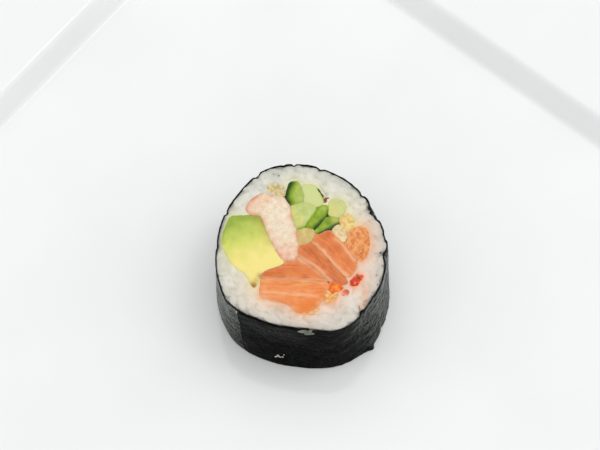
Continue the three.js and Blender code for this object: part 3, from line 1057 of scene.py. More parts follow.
@dataclass
class Plate:
    """The square plate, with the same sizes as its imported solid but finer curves.

    Attributes:
        side: Its outer side.
        corner: Radius of its outer corners.
        well: Side of the well's flat floor.
        well_corner: Radius of the well's corners.
        step_run: Width of the step from the well up to the rim.
        step_rise: Height of that step.
        rim_lift: How far the rim climbs towards its edge.
        wall: Thickness under the well.
        rim_wall: Thickness of the rim.
        foot: Outer side of the ring that it stands on.
        foot_width: Width of that ring.
        foot_height: Height of that ring.
        draft: How far the foot's flanks and the underside lean.
        lip: Rounding of the outer edge.
        bends: Shares of the step's width taken by the roundings at its shoulder and its foot.
        tightest: Least radius of any corner.
        corner_steps: Facets round each corner.
    """

    side: float = 305.0
    corner: float = 18.0
    well: float = 216.0
    well_corner: float = 18.0
    step_run: float = 9.0
    step_rise: float = 6.0
    rim_lift: float = 2.5
    wall: float = 5.5
    rim_wall: float = 5.0
    foot: float = 200.0
    foot_width: float = 5.0
    foot_height: float = 3.0
    draft: float = 2.0
    lip: float = 1.5
    bends: tuple[float, float] = (0.32, 0.28)
    tightest: float = 4.0
    corner_steps: int = 24

    def ring(self, half: float, z: float) -> np.ndarray:
        """Makes one square ring with round corners.

        Args:
            half: Half its side.
            z: Its height over the table.

        Returns:
            Its points, anticlockwise.
        """
        shoulder, widest = self.well / 2 + self.step_run, self.well_corner + self.step_run
        corner = max(self.tightest, self.well_corner + half - self.well / 2)
        if half > shoulder:
            corner = widest + (self.corner - widest) * (half - shoulder) / (self.side / 2 - shoulder)
        angles = np.linspace(0, math.pi / 2, self.corner_steps + 1)
        arc = half - corner + corner * np.stack([np.cos(angles), np.sin(angles)], 1)
        turns = ((1, 0), (0, 1), (-1, 0), (0, -1))
        flat = np.vstack([arc @ np.array([[c, s], [-s, c]]) for c, s in turns])
        return np.column_stack([flat, np.full(len(flat), z)])

    def profile(self) -> list[tuple[float, float]]:
        """Lists the plate's section.

        Returns:
            Half side and height of each ring, from the underside's middle round the edge to
            the well's floor.
        """
        well, edge, foot, lip = self.well / 2, self.side / 2, self.foot / 2, self.lip
        shoulder = well + self.step_run
        floor = self.foot_height + self.wall
        rim = floor + self.step_rise
        top = rim + self.rim_lift
        rings = [
            (foot - self.foot_width - self.draft, self.foot_height),
            (foot - self.foot_width, 0.0),
            (foot, 0.0),
            (foot + self.draft, self.foot_height),
            (well + self.draft, self.foot_height + lip / 2),
            (shoulder + self.draft, rim - self.rim_wall),
            (edge - lip, top - self.rim_wall + lip / 2),
            (edge, top - self.rim_wall + 2 * lip),
            (edge, top - lip),
        ]
        turned = np.linspace(0.3, math.pi / 2, 5)
        rings += [(edge - lip * (1 - math.cos(a)), top - lip * (1 - math.sin(a))) for a in turned]
        flat = edge - lip - shoulder
        rings += [(shoulder + flat * share, rim + self.rim_lift * share) for share in (0.8, 0.5, 0.2)]
        # Between its rounded shoulder and its rounded foot the step falls straight.
        over, under = self.bends
        fall = self.step_rise / (1 - (over + under) / 2)
        for share in np.linspace(0, over, 8):
            rings.append((shoulder - share * self.step_run, rim - fall * share**2 / (2 * over)))
        for share in np.linspace(under, 0, 8):
            rings.append((well + share * self.step_run, floor + fall * share**2 / (2 * under)))
        return rings + [(well * share, floor) for share in (0.97, 0.85)]

    def build(self, finish: bpy.types.Material) -> bpy.types.Object:
        """Makes the plate.

        Args:
            finish: Its material.

        Returns:
            The plate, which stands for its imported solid.
        """
        rings = [self.ring(half, z) for half, z in self.profile()]
        n, faces = len(rings[0]), []
        for low in range(0, (len(rings) - 1) * n, n):
            faces += [(low + i, low + (i + 1) % n, low + (i + 1) % n + n, low + i + n) for i in range(n)]
        faces += [tuple(range(n))[::-1], tuple(range((len(rings) - 1) * n, len(rings) * n))]
        piece = make_piece("plate_glazed", PLACE.from_row(np.vstack(rings) * MM), faces, finish)
        piece.data.set_sharp_from_angle(angle=math.radians(50))
        return place_piece(piece, "porcelain", "plate")


# ---------------------------------------------------------------- roll


def fade_round(angle: np.ndarray, place: float, half_width: float) -> np.ndarray:
    """Gives 1 at an angle round the roll and fades to 0 on both sides of it."""
    return np.exp(-((((angle - place + 180) % 360 - 180) / half_width) ** 2))


@dataclass
class RollShape:
    """The inside of the nori ring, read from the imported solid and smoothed.

    Attributes:
        middle: The ring's middle.
        step: Degrees between two radii in its table.
        height: Height of the slice.
        levels: Number of heights in its table.
        blur: Degrees over which the solid's facets are smoothed away.
        bulges: Where the wall's top stands out further: angle, half width and amount.
        bulge_rise: Heights between which the bulges grow to their full amount.
        leans: Where the wall's very top leans over the rice: angle, half width and reach.
        lean_rise: Heights between which the leans grow to their full reach.
    """

    middle: tuple[float, float] = (0.0, 0.7)
    step: float = 0.5
    height: float = FACE
    levels: int = 14
    blur: float = 2.2
    bulges: Bumps = (
        (218.0, 6.0, 0.5), (256.0, 15.0, 0.95), (269.0, 6.0, 0.35), (291.0, 10.0, 0.4), (307.0, 9.0, 0.8),
        (346.0, 10.0, -0.4),
    )
    bulge_rise: tuple[float, float] = (12.0, 25.0)
    leans: Bumps = (
        (119.6, 1.8, 1.0), (101, 1.5, 0.3), (94.4, 0.9, 0.7), (77, 1.8, 0.5), (43, 1.5, 0.7),
        (31.5, 2.2, 1.3), (27, 2.8, 1.7), (22.5, 1.9, 1.1), (7.5, 2.0, 1.0), (353, 3.6, 1.1),
        (154, 1.3, 0.8), (180, 2.0, 0.4), (310, 1.6, 0.9),
    )
    lean_rise: tuple[float, float] = (23.6, 25.5)

    def __post_init__(self) -> None:
        """Reads the radii."""
        points = points_of(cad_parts["nori"])
        angle, radius = self.polar(points)
        order = np.argsort(angle)
        heights = np.linspace(0, self.height, self.levels)
        angles, table = [], []
        for group in np.split(order, np.flatnonzero(np.diff(angle[order]) > 0.1) + 1):
            nearest: dict[float, float] = {}
            for i in group:
                z = round(float(points[i, 2]), 1)
                nearest[z] = min(nearest.get(z, 1e9), radius[i])
            angles.append(angle[group].mean())
            zs = sorted(nearest)
            table.append(np.interp(heights, zs, [nearest[z] for z in zs]))
        fine = np.arange(0, 360, self.step)
        radii = np.stack([np.interp(fine, angles, column, period=360) for column in np.array(table).T], 1)
        reach = np.arange(-12, 13)
        bell = np.exp(-((reach * self.step / self.blur) ** 2) / 2)
        self.radii = sum(w * np.roll(radii, k, 0) for k, w in zip(reach, bell / bell.sum()))

    def polar(self, points: np.ndarray) -> tuple[np.ndarray, np.ndarray]:
        """Gives the angles in degrees and the radii of points about the ring's middle."""
        x, y = (points[:, :2] - self.middle).T
        return np.degrees(np.arctan2(y, x)) % 360, np.hypot(x, y)

    def radius(self, angle: np.ndarray, z: np.ndarray) -> np.ndarray:
        """Gives the ring's inner radius.

        Args:
            angle: Angles from the slice's X, in degrees.
            z: Heights over the slice's underside.

        Returns:
            One radius for each angle and height.
        """
        a = (np.asarray(angle) % 360) / self.step
        h = np.clip(np.asarray(z) / self.height * (self.levels - 1), 0, self.levels - 1.001)
        i, j = a.astype(int), h.astype(int)
        u, v = a - i, h - j
        i, after = i % len(self.radii), (i + 1) % len(self.radii)
        low = self.radii[i, j] * (1 - u) + self.radii[after, j] * u
        high = self.radii[i, j + 1] * (1 - u) + self.radii[after, j + 1] * u
        bulge = sum(amount * fade_round(angle, place, width) for place, width, amount in self.bulges)
        bulge = bulge * smooth_step(np.asarray(z), *self.bulge_rise)
        lean = self.lean(angle) * smooth_step(np.asarray(z), *self.lean_rise)
        return low * (1 - v) + high * v + bulge - lean

    def lean(self, angle: np.ndarray) -> np.ndarray:
        """Gives how far the wall's very top leans inwards at each angle."""
        angle = np.asarray(angle)
        return np.max([reach * fade_round(angle, place, width) for place, width, reach in self.leans], axis=0)

    def points(self, angle: np.ndarray, radius: np.ndarray, z: np.ndarray) -> np.ndarray:
        """Turns angles, radii and heights into slice points.

        Args:
            angle: Angles in degrees.
            radius: Radii about the ring's middle.
            z: Heights.

        Returns:
            One point a row.
        """
        a = np.radians(angle)
        return np.stack([self.middle[0] + radius * np.cos(a), self.middle[1] + radius * np.sin(a), z], 1)

    def outline(self, z: float, clearance: float, spacing: float) -> np.ndarray:
        """Gives the outline of what fills the ring at one height.

        Args:
            z: The height.
            clearance: Distance kept from the ring.
            spacing: Distance between points.

        Returns:
            A closed, anticlockwise outline.
        """
        angle = np.arange(0, 360, self.step)
        radius = self.radius(angle, np.full(len(angle), z)) - clearance
        return even_outline(self.points(angle, radius, np.zeros(len(angle)))[:, :2], spacing, passes=0)


@dataclass
class NoriSheet:
    """The seaweed sheet: one turn round the rice and a lap over its own start.

    Angles are degrees from the slice's X. The sheet's outer end is a flap that shows at the
    front left, and its inner end lies under the lap.

    Attributes:
        flap: Where the outer end lies.
        inner_end: Where the inner end lies.
        solid_wall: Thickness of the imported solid, whose outside the sheet keeps.
        sheet: The sheet's own thickness.
        top: Height of its cut edge.
        column: Degrees between two columns of points.
        rows: Points up the wall.
        unrolled: Radius at which its flat pattern fits it.
        dip: Where the cut edge dips at the stray grain, its half width and its depth.
        corner: Where the sheet's corner sticks out at the foot, its half width and its reach.
    """

    flap: float = 231.0
    inner_end: float = 275.0
    solid_wall: float = 0.6
    sheet: float = 0.27
    top: float = 25.55
    column: float = 0.8
    rows: int = 44
    unrolled: float = 27.0
    dip: tuple[float, float, float] = (273.5, 3.2, 2.1)
    corner: tuple[float, float, float] = (313.8, 2.0, 0.9)

    def relief(self, angle: np.ndarray, z: np.ndarray) -> np.ndarray:
        """Gives how far the sheet stands in or out from the smooth ring.

        Args:
            angle: Angles in degrees.
            z: Heights.

        Returns:
            One distance a place.
        """
        turn = np.radians(angle)
        ring = np.stack([self.top * np.cos(turn), self.top * np.sin(turn), z], 1)
        crumpled = smooth_step(np.cos(np.radians(angle - 325)), 0.75, 1.0)
        upright = ripple(ring * (1, 1, 0.22), 1.9, 6)
        creases = (0.06 + 0.16 * crumpled) * (0.5 - np.abs(upright)) * 2
        return 0.13 * ripple(ring, 3.6, 5) + creases + 0.03 * ripple(ring, 0.9, 7)

    def painted_sheen_share(self, angle: np.ndarray, share: np.ndarray, outer_pass: np.ndarray) -> np.ndarray:
        """Marks where a grey sheen is painted on: left of the flap, at the right, and under the lap's rim.

        Args:
            angle: Angles in degrees.
            share: Places up the wall, from 0 to 1.
            outer_pass: 1 where the sheet is the lap's outer layer.

        Returns:
            One share a place.
        """
        facing = {place: np.cos(np.radians(angle - place)) for place in (190, 240, 350)}
        left = 0.85 * smooth_step(facing[190], 0.5, 0.97) * (1 - outer_pass) * (0.6 + 0.95 * share)
        right = smooth_step(facing[350], 0.62, 0.98) * (0.4 + 0.85 * share)
        band = 0.1 * smooth_step(share, 0.45, 0.9) * smooth_step(facing[240], 0.75, 1.0)
        # The painted sheen fades out before the cut edge, which stays dark.
        return np.clip(left + right + band, 0, 1.4) * (1 - smooth_step(share, 0.955, 0.985))

    def skin(self, columns: int) -> list[tuple[int, ...]]:
        """Lists the faces of the sheet's two sides and its four edges.

        Args:
            columns: Number of columns of points; the inner side's points follow the outer's.

        Returns:
            The faces, by point number.
        """
        rows, far = self.rows, self.rows * columns
        last = far - rows
        faces = []
        for c in range(0, last, rows):
            after = c + rows
            for a in range(rows - 1):
                faces.append((c + a, after + a, after + a + 1, c + a + 1))
                faces.append((far + c + a, far + c + a + 1, far + after + a + 1, far + after + a))
            top = rows - 1
            faces.append((c + top, after + top, far + after + top, far + c + top))
            faces.append((far + c, far + after, after, c))
        for a in range(rows - 1):
            faces.append((far + a, a, a + 1, far + a + 1))
            faces.append((last + a, far + last + a, far + last + a + 1, last + a + 1))
        return faces

    def build(self, shape: RollShape, finish: bpy.types.Material) -> bpy.types.Object:
        """Makes the sheet.

        Args:
            shape: The ring it lies round.
            finish: Its material.

        Returns:
            The sheet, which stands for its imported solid.
        """
        angles = np.arange(self.flap, self.inner_end + 360 + self.column, self.column)
        shares = np.linspace(0, 1, self.rows) ** 0.9
        angle, share = (g.ravel() for g in np.meshgrid(angles, shares, indexing="ij"))
        outer_pass = 1 - smooth_step(angle, self.inner_end, self.inner_end + 9)
        turn = np.radians(angle)
        loop = np.stack([self.top * np.cos(turn), self.top * np.sin(turn), angle / 360], 1)
        edge = self.top + 0.2 * ripple(loop, 6.0, 3) + 0.1 * ripple(loop, 1.5, 4)
        z = share * (edge - self.dip[2] * fade_round(angle, *self.dip[:2]) * outer_pass)
        # The flap's end isn't cut straight.
        sway = ripple(np.stack([z, 0 * z], 1), 5.0, 8)
        bent = angle + np.exp(-(angle - self.flap) / 4) * (5.0 * (0.5 - share) + 1.2 * sway)
        # The lap lies close at its foot and stands off a little higher up.
        tucked = (1 - smooth_step(angle - self.flap, 0, 6)) * (1 - smooth_step(share, 0.1, 0.5))
        outside = shape.radius(bent, z) + self.solid_wall
        outside += (self.sheet + 0.1) * outer_pass * (1 - 0.9 * tucked)
        outside += self.relief(bent, z)
        # The flap lifts a little along its very end, and one corner of the sheet sticks out.
        outside += 0.35 * np.exp(-(angle - self.flap)) * (0.3 + 0.7 * share)
        outside += self.corner[2] * fade_round(angle, *self.corner[:2]) * (1 - smooth_step(z, 1.0, 6.5))
        points = np.vstack([shape.points(bent, outside - inset, z) for inset in (0.0, self.sheet)])
        # The `pale` mark carries the painted sheen.
        marks = {"pale": np.tile(self.painted_sheen_share(bent, share, outer_pass), 2)}
        flat = np.tile(np.stack([turn * self.unrolled, z], 1), (2, 1))
        piece = make_piece("nori_sheet", points, self.skin(len(angles)), finish, marks, flat)
        piece.data.set_sharp_from_angle(angle=math.radians(60))
        return place_piece(piece, "nori", "nori")


@dataclass
class RiceBed:
    """The rice between the nori and the fillings: a sticky ring with grains pressed into it.

    Attributes:
        grid: Distance between mesh points.
        core_top: Height of the ring's face, which shows between the grains.
        face: Height of the cut grains.
        rim_drop: How far the face falls off by the nori.
        spread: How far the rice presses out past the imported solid.
        grain: Length, width and depth of one grain.
        spacing: Least distance between two grains' middles.
        cell: Size of the finest detail of the sticky skin.
        under_face: How far the plain body's top lies under the ring's face.
        walls: Heights of the rings of points down the plain body's walls.
        slab_foot: Height of the underside of the slab that the grains stick to.
        bed: Distance between mesh points of the surface that the grains lie on.
        stain: A line along which the rice by the nori is stained.
        soaked: Stained spots: x, y, radius and strength.
    """

    grid: float = 0.6
    core_top: float = 25.55
    face: float = 26.15
    rim_drop: float = 0.45
    spread: float = 0.28
    grain: tuple[float, float, float] = (5.4, 2.8, 2.3)
    spacing: float = 2.0
    cell: float = 0.22
    under_face: float = 0.8
    walls: tuple[float, ...] = (22.0, 14.0, 6.0, 0.0)
    slab_foot: float = 24.2
    bed: float = 0.8
    stain: Line = ((19.6, -13.5), (18.6, -19.5))
    soaked: Spots = ((-12.0, -16.4, 1.6, 0.9), (-9.5, -18.6, 1.4, 0.6))

    def marks(self, points: np.ndarray, shape: RollShape, cut: bool) -> dict[str, np.ndarray]:
        """Gives the colours that run into the rice, and the painted shade in its gaps and along the nori.

        Args:
            points: The rice's points.
            shape: The nori round it.
            cut: Whether it is the cut face.

        Returns:
            The shares `warm`, `leafy` and `painted_shade` of each point; `painted_shade` is the painted
            shade.
        """
        xy, z = points[:, :2], points[:, 2]
        salmon = ("salmon_1", "salmon_3", "salmon_4", "roe_1", "roe_2", "roe_3", "tempura_flakes_3")
        greens = ("cucumber_1", "cucumber_2", "cucumber_6", "avocado", "tempura_flakes_1")
        marks = {}
        for mark, nodes, far in (("warm", salmon, 0.42), ("leafy", greens, 0.2)):
            gap = np.min([gap_to(section_of(n)[0], xy) for n in nodes], axis=0)
            marks[mark] = 0.5 * np.exp(-gap / 1.1) + far * np.exp(-gap / 4.5)
        stain = 0.55 * np.exp(-((gap_to(np.array(self.stain), xy, False) / 1.5) ** 2))
        marks["warm"] = np.max([marks["warm"], stain, near_spots(xy, self.soaked)], axis=0)
        angle, radius = shape.polar(points)
        # Painted shade: darker along the nori, more so at the right and at the back, and in the gaps between
        # grains.
        shade = 0.4 + 0.12 * smooth_step(np.cos(np.radians(angle - 345)), 0.6, 1.0)
        shade += 0.3 * smooth_step(np.cos(np.radians(angle - 85)), 0.7, 1.0)
        by_nori = shade * np.exp(-(shape.radius(angle, z) - radius + self.spread) / 1.7)
        marks["painted_shade"] = cut * (0.28 * smooth_step(self.face - z, 0.4, 1.0) + by_nori)
        return marks

    def ring(
        self,
        name: str,
        shape: RollShape,
        holes: list[np.ndarray],
        levels: tuple[float, ...],
        finish: bpy.types.Material,
    ) -> bpy.types.Object:
        """Makes a closed ring of rice between the nori and the fillings.

        Args:
            name: Its name.
            shape: The nori round it.
            holes: The fillings' outlines.
            levels: Heights of its upper face and of the rings of points down its walls.
            finish: Its material.

        Returns:
            The ring.
        """
        loops = [shape.outline(levels[0], -self.spread, self.grid), *(grown(h, -0.5) for h in holes)]
        flat, top_faces = filled(loops, np.vstack([*holes, inner_points([loops[0], *holes], self.grid)]))
        gap = np.min([gap_to(hole, flat) for hole in holes], axis=0)
        near = np.exp(-gap / 0.7)
        rough = 0.15 * ripple(flat, 2.6, 11) + 0.06 * ripple(flat, 1.1, 12)
        height = levels[0] + rough * (1 - near) + (face_level(flat) - 0.02 - self.core_top) * near
        # Under the fillings' rims it falls away.
        height -= 0.5 * gap * np.any([is_inside(hole, flat) for hole in holes], axis=0)
        height -= self.rim_drop * (1 - smooth_step(gap_to(loops[0], flat), 0.0, 1.8))
        points = [np.column_stack([flat, height])]
        faces = [tuple(f) for f in top_faces]
        count, start = len(flat), 0
        bottoms = []
        for loop in loops:
            n, outer = len(loop), loop is loops[0]
            above = list(range(start, start + n))
            start += n
            for z in levels[1:]:
                row = np.column_stack([loop, np.full(n, z)])
                if outer:
                    angle, _ = shape.polar(row)
                    row = shape.points(angle, shape.radius(angle, row[:, 2]) + self.spread - 0.15, row[:, 2])
                points.append(row)
                below = list(range(count, count + n))
                quads = band(above, below)
                faces += quads if outer else [quad[::-1] for quad in quads]
                above = below
                count += n
            bottoms.append(np.array(above))
        _, under = filled([np.vstack(points)[numbers][:, :2] for numbers in bottoms], np.zeros((0, 2)))
        numbers = np.concatenate(bottoms)
        faces += [tuple(int(numbers[v]) for v in f[::-1]) for f in under]
        return make_piece(name, np.vstack(points), faces, finish)

    def grains(
        self, shape: RollShape, holes: list[np.ndarray], finish: bpy.types.Material
    ) -> bpy.types.Object:
        """Makes the grains that show on the cut face.

        Args:
            shape: The nori round them.
            holes: The fillings' outlines.
            finish: Their material.

        Returns:
            The grains, as overlapping bodies in one object.
        """
        loops = [shape.outline(25.0, 0.6, self.bed)]
        loops += [even_outline(grown(hole, 0.9), self.bed, 0) for hole in holes]
        flat, faces = filled(loops, inner_points(loops, self.bed))
        # A grain lies along whichever wall is nearest.
        lie, best = np.zeros(len(flat)), np.full(len(flat), 1e9)
        for loop in loops:
            for a, b in zip(loop, np.roll(loop, -1, 0)):
                gap = np.linalg.norm(flat - (a + b) / 2, axis=1)
                nearer = gap < best
                best[nearer] = gap[nearer]
                lie[nearer] = math.atan2(b[1] - a[1], b[0] - a[0]) + math.radians(PLACE.turn)
        height = self.face - 0.95 + 0.25 * ripple(flat, 4.0, 14)
        points, faces = np.column_stack([flat, height]), [tuple(f) for f in faces]
        bed = make_piece("grain_bed", points, faces, finish, {"lie": lie})
        scatter = Scatter(
            "rice_grains", *self.grain, self.spacing, tilt=0.28, loose=1.1, uneven=0.9, cut=self.face, seed=7
        )
        piece = scatter.lay_on(bed, finish)
        points = points_of(piece)
        # The sheet holds the outer grains in, and the fillings press the inner ones down.
        angle, radius = shape.polar(points)
        room = shape.radius(angle, points[:, 2]) + self.spread - 0.02
        spare = room - radius
        kept = room - (spare + np.sqrt(spare**2 + 0.3**2)) / 2
        points = shape.points(angle, kept, points[:, 2])
        by_nori = self.face - self.rim_drop * (1 - smooth_step(spare, 0.0, 2.0))
        gap = np.min([gap_to(hole, points[:, :2]) for hole in holes], axis=0)
        by_filling = face_level(points[:, :2]) + 0.03 + 0.3 * smooth_step(gap, 0.2, 1.5)
        points[:, 2] = np.min([points[:, 2], by_nori, by_filling], axis=0)
        for hole in holes:
            under = is_inside(hole, points[:, :2])
            depth = np.maximum(gap_to(hole, points[under, :2]) - 0.25, 0)
            points[under, 2] -= np.minimum(1.3 * depth, 1.5)
        piece.data.vertices.foreach_set("co", PLACE.to_row(points).astype(np.float32).ravel())
        return piece

    def build(self, shape: RollShape, finish: bpy.types.Material) -> None:
        """Makes the rice: a plain body, and a cut face of grains stuck together.

        Args:
            shape: The nori round it.
            finish: Its material.
        """
        holes = [even_outline(line, 0.7, 1) for line in section_of("rice")[1:]]
        body = self.ring("rice_body", shape, holes, (self.core_top - self.under_face, *self.walls), finish)
        slab = self.ring("slab", shape, holes, (self.core_top, self.slab_foot), finish)
        face = fused("rice_face", [slab, self.grains(shape, holes, finish)], self.cell, finish)
        for piece in (body, face):
            set_marks(piece.data, self.marks(points_of(piece), shape, piece is face))
        place_piece(body, "rice", "rice")
        place_piece(face, "rice")


# ---------------------------------------------------------------- fillings


@dataclass
class Filling:
    """One stick of filling, cut across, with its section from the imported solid.

    Attributes:
        node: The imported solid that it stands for.
        slot: The record's material slot.
        look: Which finish it has.
        grid: Distance between mesh points on the cut end.
        swell: How far its outline wanders in and out, and between what distances.
        edge: Radius of the cut end's rim.
        joins: How far in from its rim it evens out to its neighbours' level.
        sink: How far its cut end lies under the solid's top.
        wave: Height of its slow unevenness, and the distance between two waves.
        crumple: Height of its fine unevenness, and the distance between two bumps.
        lie: Direction of its fibres, in degrees from the slice's X.
        walls: Heights of the rings of points down its wall.
    """

    node: str
    slot: str = ""
    look: str = ""
    grid: float = 0.42
    swell: tuple[float, float] = (0.16, 1.6)
    edge: float = 0.05
    joins: float = 1.2
    sink: float = 0.0
    wave: tuple[float, float] = (0.15, 5.0)
    crumple: tuple[float, float] = (0.04, 1.1)
    lie: float = 0.0
    walls: tuple[float, ...] = (24.8, 18.0, 9.0, 0.0)

    def outline(self) -> np.ndarray:
        """Gives its section, pressed against its neighbours and a little uneven."""
        line = pressed(even_outline(section_of(self.node)[0], self.grid, 1), self.node)
        return grown(line, self.swell[0] * ripple(line, self.swell[1], 21))

    def marks(self, xy: np.ndarray, rim: np.ndarray) -> dict[str, np.ndarray]:
        """Gives the values that its finish reads.

        Args:
            xy: Places across the section.
            rim: How far each place lies from the outline.

        Returns:
            Values by name.
        """
        return {}

    def build(self, finish: bpy.types.Material) -> bpy.types.Object:
        """Makes the stick.

        Args:
            finish: Its material.

        Returns:
            The stick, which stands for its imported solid.
        """
        loop = self.outline()
        inset = grown(loop, -2 * self.edge)
        inset = inset[is_inside(loop, inset) & (gap_to(loop, inset) > 1.5 * self.edge)]
        flat, top_faces = filled([loop], np.vstack([inset, inner_points([loop], self.grid)]))
        rim = gap_to(loop, flat)
        top = points_of(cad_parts[self.node])[:, 2].max() - self.sink
        seed = len(self.node) + int(loop[0, 0] * 10) % 50
        raised = top - FACE
        for number, (size, spacing) in enumerate((self.wave, self.crumple)):
            raised = raised + size * ripple(flat, spacing, seed + number)
        height = face_level(flat) + raised * smooth_step(rim, 0, self.joins)
        height -= self.edge * (1 - np.minimum(rim / self.edge, 1))
        points = [np.column_stack([flat, height])]
        faces = [tuple(f) for f in top_faces]
        n, above, count = len(loop), list(range(len(loop))), len(flat)
        for z in self.walls:
            points.append(np.column_stack([loop, np.full(n, z)]))
            below = list(range(count, count + n))
            faces += band(above, below)
            above = below
            count += n
        _, under = filled([loop], np.zeros((0, 2)))
        faces += [tuple(above[v] for v in f[::-1]) for f in under]
        points = np.vstack(points)
        c, s = cos_sin(self.lie)
        unwrapped = points[:, :2] @ np.array([[c, -s], [s, c]])
        marks = self.marks(points[:, :2], np.r_[rim, np.zeros(len(points) - len(flat))])
        piece = make_piece(self.node + "_cut", points, faces, finish, marks, unwrapped)
        return place_piece(piece, self.slot, self.node)


def near_spots(xy: np.ndarray, spots: Spots) -> np.ndarray:
    """Gives the strongest of a few soft spots.

    Args:
        xy: Places across a section.
        spots: Each spot's x, y, radius and strength.

    Returns:
        One value a place.
    """
    values = np.zeros(len(xy))
    for x, y, reach, strength in spots:
        values = np.maximum(values, strength * np.exp(-((np.linalg.norm(xy - (x, y), axis=1) / reach) ** 2)))
    return values


@dataclass
class CrabStickFold(Filling):
    """The folded crab stick, whose dyed skin shows as thin lines along its outside.

    Attributes:
        fold: The line where the folded stick meets itself.
        stained: Dyed spots, the hook's first: x, y, radius and strength.
    """

    slot: str = "crab_stick"
    look: str = "crab_stick"
    wave: tuple[float, float] = (0.2, 3.0)
    crumple: tuple[float, float] = (0.1, 0.9)
    lie: float = -65.0
    fold: Line = ((-13.5, 14.6), (-10.5, 15.8), (-8.2, 14.4))
    stained: Spots = ((-15.0, 14.8, 4.0, 0.24), (-4.6, -1.6, 3.4, 0.55))

    def marks(self, xy: np.ndarray, rim: np.ndarray) -> dict[str, np.ndarray]:
        """Marks the dyed skin: strong round the hook and along both sides, patchy elsewhere.

        Args:
            xy: Places across the section.
            rim: How far each place lies from the outline.

        Returns:
            Values by name.
        """
        edge = (0.85 + 2.0 * near_spots(xy, self.stained[:1])) * np.exp(-rim / 0.5) + 0.3 * np.exp(-rim / 1.5)
        fold = 0.35 * np.exp(-gap_to(np.array(self.fold), xy, False) / 0.4)
        skin = edge * (0.75 + 0.5 * ripple(xy, 2.0, 31)) + fold + near_spots(xy, self.stained)
        return {"skin": np.clip(skin, 0, 1)}


@dataclass
class AvocadoWedge(Filling):
    """The avocado, green where it lay by its skin and yellow by the stone.

    Attributes:
        by_skin: A place at its green side.
        ripens: The direction in which it turns yellow.
        length: How far that takes.
        tail: Spots at its tip, browned flesh with painted shade of the gap there: x, y, radius and strength.
    """

    slot: str = "avocado"
    look: str = "avocado"
    wave: tuple[float, float] = (0.22, 7.0)
    crumple: tuple[float, float] = (0.03, 1.1)
    lie: float = -60.0
    by_skin: tuple[float, float] = (-21.0, 9.5)
    ripens: tuple[float, float] = (0.36, -0.93)
    length: float = 17.5
    tail: Spots = ((-14.2, -12.4, 1.3, 1.0), (-12.2, -9.4, 1.0, 0.8), (-13.4, -10.8, 1.0, 0.45))

    def marks(self, xy: np.ndarray, rim: np.ndarray) -> dict[str, np.ndarray]:
        """Marks how ripe the flesh is across the wedge, the browned side, and the tip's browning with painted
        shade.

        Args:
            xy: Places across the section.
            rim: How far each place lies from the outline.

        Returns:
            Values by name.
        """
        along = (xy - self.by_skin) @ np.array(self.ripens)
        ripe = along / self.length + 0.16 * ripple(xy, 3.5, 37) - 0.3 * np.exp(-rim / 0.7) * (xy[:, 1] > 1)
        # The tip's spots paint shade for the dark gap there, as well as browned flesh.
        tail = near_spots(xy, self.tail)
        side = 0.3 * smooth_step(xy @ np.array([0.9, 0.42]), -11.5, -6.0) * smooth_step(xy[:, 1], -3, 5)
        return {"ripe": np.clip(ripe, 0, 1), "browned": np.clip(tail + side, 0, 1)}


@dataclass
class CucumberBaton(Filling):
    """One baton of cucumber.

    Attributes:
        peel: The line along which its green skin lies, if it has any.
        depth: How far the green reaches in from the skin.
        green: Share of green all over the baton.
        seedy: Soft, seedy spots: x, y, radius and strength.
        browned: Share of sauce that has run into it.
    """

    slot: str = "cucumber"
    look: str = "cucumber"
    peel: Line = ()
    depth: float = 1.2
    green: float = 0.0
    seedy: Spots = ()
    browned: float = 0.0
    wave: tuple[float, float] = (0.12, 3.0)

    def marks(self, xy: np.ndarray, rim: np.ndarray) -> dict[str, np.ndarray]:
        """Marks the skin, the seeds and the sauce.

        Args:
            xy: Places across the section.
            rim: How far each place lies from the outline; not used.

        Returns:
            Values by name.
        """
        skin = self.green * (1 + 0.5 * ripple(xy, 2.0, 32))
        if self.peel:
            gap = gap_to(np.array(self.peel), xy, False) / self.depth
            skin = np.maximum(skin, np.exp(-(gap**1.3)))
        sauce = self.browned * (1 + 1.2 * ripple(xy, 1.6, 36))
        marks = {"skin": np.clip(skin, 0, 1), "browned": np.clip(sauce, 0, 1)}
        return marks | {"seedy": near_spots(xy, self.seedy)}


@dataclass
class SalmonSlice(Filling):
    """One slice of salmon.

    Attributes:
        fat_lines: Each fat line's places, half width and strength.
        deep: Share of the redder muscle.
        shaded: Darker spots: x, y, radius and strength.
        vivid: Spots with an orange stain: x, y, radius and strength.
    """

    slot: str = "salmon"
    look: str = "salmon"
    fat_lines: tuple[tuple[Line, float, float], ...] = ()
    deep: float = 0.0
    shaded: Spots = ()
    vivid: Spots = ()
    wave: tuple[float, float] = (0.14, 4.0)

    def marks(self, xy: np.ndarray, rim: np.ndarray) -> dict[str, np.ndarray]:
        """Marks the fat lines, the redder muscle and the stain.

        Args:
            xy: Places across the section.
            rim: How far each place lies from the outline.

        Returns:
            Values by name.
        """
        fat = 0.45 * np.exp(-rim / 0.6) * (0.7 + ripple(xy, 1.5, 35))
        bent = xy + 0.3 * ripple(xy, 2.2, 33)[:, None]
        for places, half_width, strength in self.fat_lines:
            gap = gap_to(np.array(places), bent, False) / half_width
            fat = np.maximum(fat, strength * (0.8 * np.exp(-(gap**2)) + 0.2 * np.exp(-gap / 2.5)))
        deep = self.deep + 0.1 * ripple(xy, 3.0, 34) + near_spots(xy, self.shaded)
        marks = {"fat": np.clip(fat, 0, 1), "deep": np.clip(deep, -0.4, 0.9)}
        return marks | {"vivid": near_spots(xy, self.vivid)}


